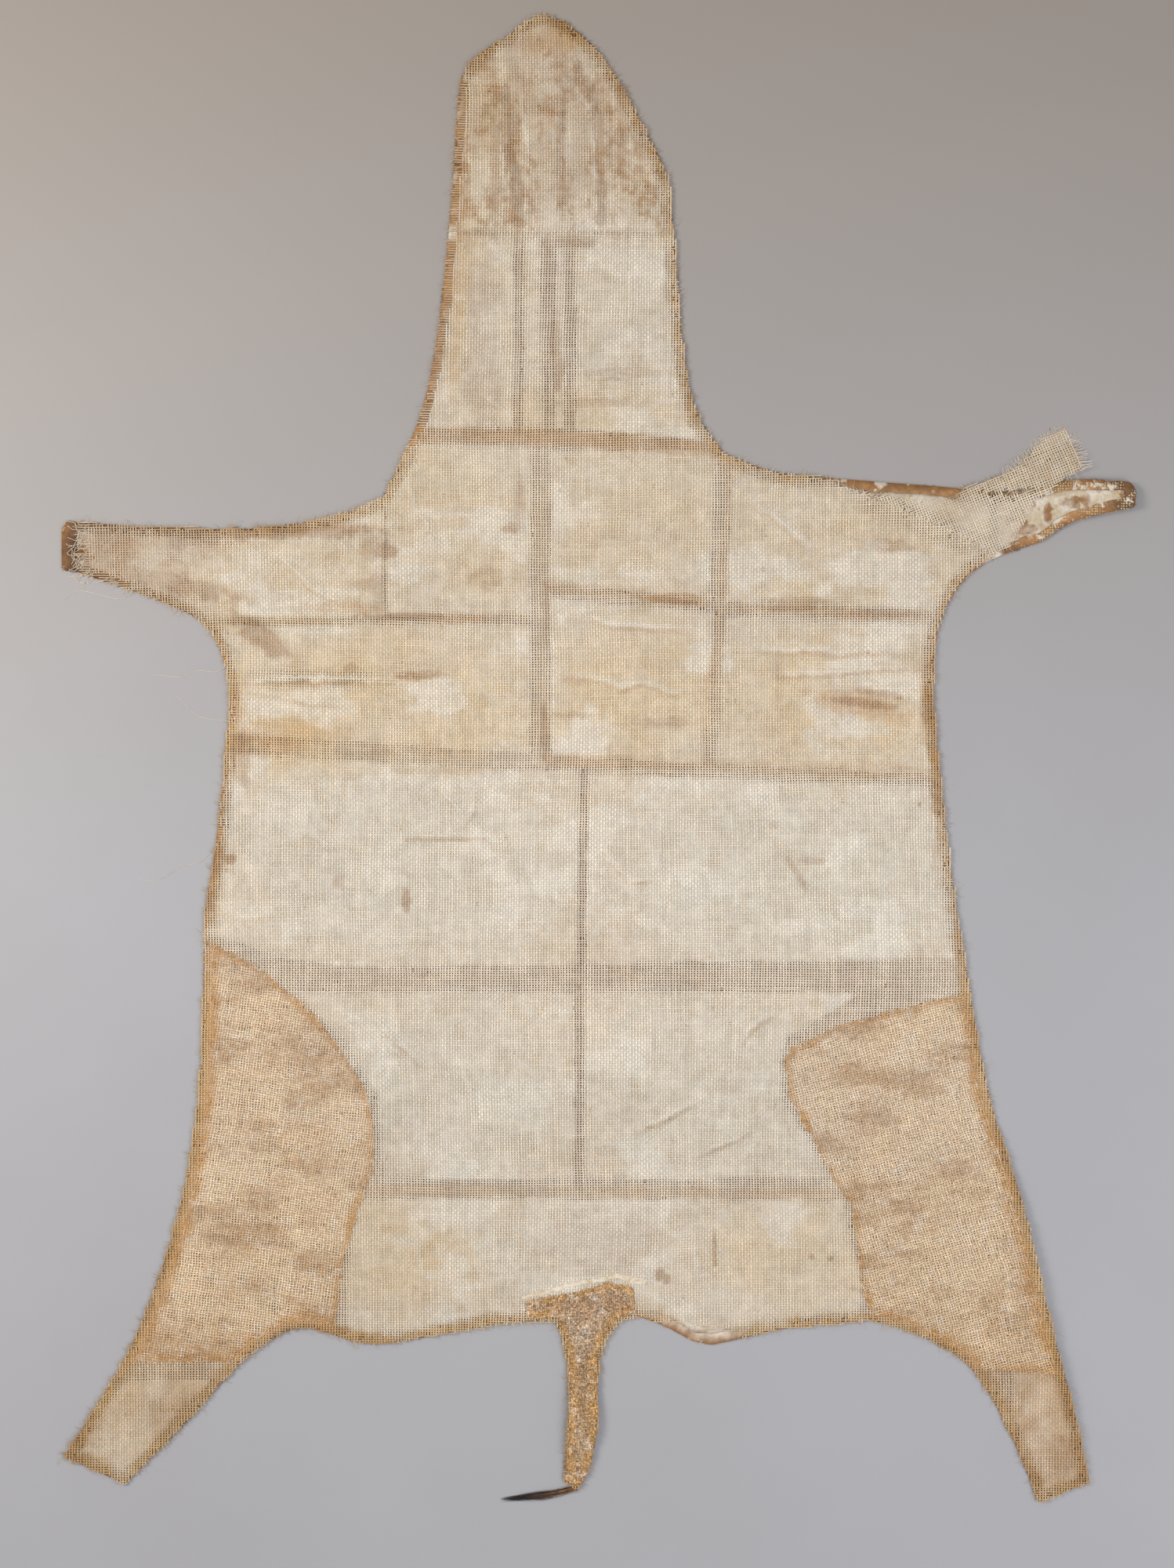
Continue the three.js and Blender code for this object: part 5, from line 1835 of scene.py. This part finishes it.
    def loose_threads(self, yarn: bpy.types.Material) -> bpy.types.Object:
        """Long pulled threads that wander over the floor from the left foreleg and flank.

        Args:
            yarn: The material.
        Returns:
            The threads as one piece.
        """
        rng = np.random.default_rng(67)
        starts = [((-768, 285), (-886, 262)), ((-612, 160), (-742, 138)), ((-800, 372), (-878, 350)),
                  ((-820, 330), (-882, 300)), ((-640, -150), (-760, -200)), ((-600, 60), (-700, 105)),
                  ((-790, 300), (-860, 292)), ((-845, 380), (-872, 322)), ((-840, 352), (-880, 340)),
                  ((570, -60), (592, -40)), ((590, -230), (612, -205)), ((-560, -935), (-590, -1000))]
        n = self.tip_threads
        tip = np.stack([rng.uniform(-862, -836, n), rng.uniform(302, 392, n)], axis=1)
        tip_end = tip + np.stack([rng.uniform(-26, -6, n), rng.normal(0, 16, n)], axis=1)
        ends = np.concatenate([np.array(starts, dtype=float), np.stack([tip, tip_end], axis=1)])
        t = np.linspace(0, 1, self.loose_points)[None, :]
        count = len(ends)
        span = ends[:, 1] - ends[:, 0]
        side = np.stack([-span[:, 1], span[:, 0]], axis=1)
        wave = sum(rng.normal(0, 0.11 / k, (count, 1)) * np.sin(np.pi * k * t) for k in range(1, 5))
        plan = ends[:, None, 0, :] + span[:, None, :] * t[..., None] + side[:, None, :] * wave[..., None]
        inside = self.dye.rug.at(plan[..., 0], plan[..., 1])
        z = 0.6 + 5.4 * smoothstep(-7, 1, inside)
        tint = np.broadcast_to(CREAM, plan.shape[:2] + (3,)) * 0.92
        widths = np.full((count, self.loose_points), self.loose_width)
        strips = ribbons(np.dstack([plan, z]), widths, tint)
        piece = strips.make("loose_threads", [yarn])
        declare(piece)
        return piece


@dataclass
class SecondLayers:
    """The turned second layers of scrim on both thighs and on the root of the tail."""
    dye: Dye

    def build(self) -> None:
        """Weaves each patch over the main cloth at its own angle."""
        yarn = SpunYarn("glue_soaked_scrim", roughness=0.8, fleck=3.4, contrast=0.3).build()
        crusted = SpunYarn("crusted_tail_scrim", roughness=0.7, fleck=2.6, contrast=0.62).build()
        self.patch("thigh_patch_left", -8.0, 43, PEACH, (2.1, 1.9), 13.0, yarn)
        self.patch("thigh_patch_right", 15.5, 47, PEACH, (2.1, 1.9), 11.0, yarn)
        self.glue_line()
        self.patch("tail_patch", 3.0, 53, CRUSTED, (3.0, 2.6), 0.5, crusted, (3.7, 3.0))

    def glue_line(self) -> None:
        """A ragged line of dried white glue just above the tail patch, squeezed out onto the cloth.

        Its middle follows five given corners, bent by a noise of 20 mm waves, and its width is
        7.5 mm plus a noise of 8 mm waves, from 2 to 11 mm.
        """
        corners = np.array([(-127, -891), (-70, -876), (-19, -866), (31, -857), (79, -868)], dtype=float)
        way = np.linspace(0, len(corners) - 1, 120)
        x = np.interp(way, np.arange(len(corners)), corners[:, 0])
        y = np.interp(way, np.arange(len(corners)), corners[:, 1]) + 1.8 * noise(x, 0 * x, 20, 97)
        width = 7.5 + 4.0 * noise(x, 0 * x, 8, 98)
        z = RELIEF.scrim(x, y) + SCRIM_MIDDLE + 0.5
        bright = 1.1 + 0.1 * noise(x, 0 * x, 5, 99)
        tint = np.broadcast_to(CRUST, (1, len(x), 3)) * bright[None, :, None]
        line = ribbons(np.stack([x, y, z], axis=1)[None], np.clip(width, 2.0, 11.0)[None], tint)
        piece = line.make("tail_glue_line", [StiffFelt("dried_white_glue", crust=2.5, patch=9.0).build()])
        declare(piece)

    def patch(self, name: str, turn: float, seed: int, tone: Colour, widths: tuple[float, float],
              inset: float, yarn: bpy.types.Material, pitches: tuple[float, float] = (4.6, 4.0)) -> None:
        """One patch, woven inside its CAD node's edge.

        Args:
            name: The CAD node.
            turn: Its angle on the main cloth, in degrees.
            seed: For its threads' differences.
            tone: Its soaked colour.
            widths: Warp and weft thread widths, in mm.
            inset: How far it keeps from the skin's edge, in mm.
            yarn: The material.
            pitches: Distances between warp and weft threads, in mm.
        """
        region = Distance(node_loops(name))
        rows, columns = np.indices(region.grid.shape)
        down = region.low[1] + rows * region.cell
        edge = self.dye.rug.at(region.low[0] + columns * region.cell, down)
        on_tail = "tail" in name
        if on_tail:
            region.grid = np.where(down < -1000, np.maximum(region.grid, edge), region.grid)
        region.grid = np.minimum(region.grid, edge - inset)
        weave = Weave(region, self.dye, seed, turn=turn, middle=PATCH_MIDDLE, tone=tone, tone_share=0.65,
                      warp_pitch=pitches[0], weft_pitch=pitches[1], warp_width=widths[0],
                      weft_width=widths[1], rim=CRUSTED_RIM if on_tail else ORANGE, rim_share=0.65,
                      dirt=0.44, sway=1.6, tangle=0.6, worn=0.012, speckle=0.44 if on_tail else 0.12)
        sheet = weave.cloth(0.4, 6.0)
        piece = sheet.make(name + "_weave", [yarn])
        declare(piece, name)
        LOG.info("%s: %d threads' faces", name, len(sheet.faces))


@dataclass
class Tuft:
    """The hair at the end of the tail, swept to the left over the floor.

    Attributes:
        strands: How many strands.
        steps: Points along each.
        root: Where the tail ends, in mm.
    """
    strands: int = 360
    steps: int = 9
    root: tuple[float, float] = (-36.0, -1207.0)

    def build(self) -> None:
        """Strands on smooth curves from a short root to a long narrow tip.

        Each strand follows a parabola from its root to its own tip, its middle lifted by a half sine,
        and it thins to its end.
        """
        rng = np.random.default_rng(83)
        n = self.strands
        t = np.linspace(0, 1, self.steps)[None, :]
        long = (rng.uniform(0.2, 1.0, n) ** 0.7)[:, None]
        spread = rng.normal(0, 1, n)[:, None]
        start_x = self.root[0] - rng.uniform(-4, 32, n)[:, None]
        start_y = self.root[1] + 0.5 * (start_x - self.root[0]) * 0.55 + rng.normal(0, 2.0, n)[:, None]
        tip_x = -72 - 92 * long
        tip_y = -1222 - 6 * long + spread * (3.6 - 2.2 * long)
        x = start_x + (tip_x - start_x) * t
        y = start_y + (tip_y - start_y) * t ** 0.75 + 1.0 * spread * np.sin(np.pi * t)
        z = np.maximum(0.4, 1.0 + rng.uniform(0, 4.2, n)[:, None] * (1 - t) + 0.6 * np.sin(np.pi * t))
        fade = 0.85 * np.clip(1 - 1.6 * t, 0, 1) * (rng.random((n, 1)) < 0.6)
        tint = blend(np.broadcast_to(TUFT_DARK, fade.shape + (3,)), TUFT_TAN, fade)
        widths = 0.5 * (1.05 - t ** 2) * np.ones((n, 1))
        strips = ribbons(np.dstack([x, y, z]), widths, tint * rng.uniform(0.6, 1.6, (n, 1, 1)))
        piece = strips.make("tail_tuft_hair", [TailHair().build()])
        declare(piece, "tail_tuft")
        LOG.info("tail tuft: %d strands", n)


def main() -> None:
    """Builds the studio and every piece of the rug in order."""
    logging.basicConfig(level=logging.INFO, format="%(name)s: %(message)s")
    Studio().build()
    lining_names = sorted(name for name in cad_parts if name.startswith("lining_"))
    rug = Distance(node_loops("hide"))
    panels = Distance([loop for name in lining_names for loop in node_loops(name)])
    thighs = Distance(node_loops("thigh_patch_left") + node_loops("thigh_patch_right"))
    dye = Dye(rug, panels, thighs)
    Hide(dye).build()
    Linings(dye, lining_names).build()
    Scrim(dye).build()
    SecondLayers(dye).build()
    Tuft().build()
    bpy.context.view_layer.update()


if __name__ == "__main__":
    main()
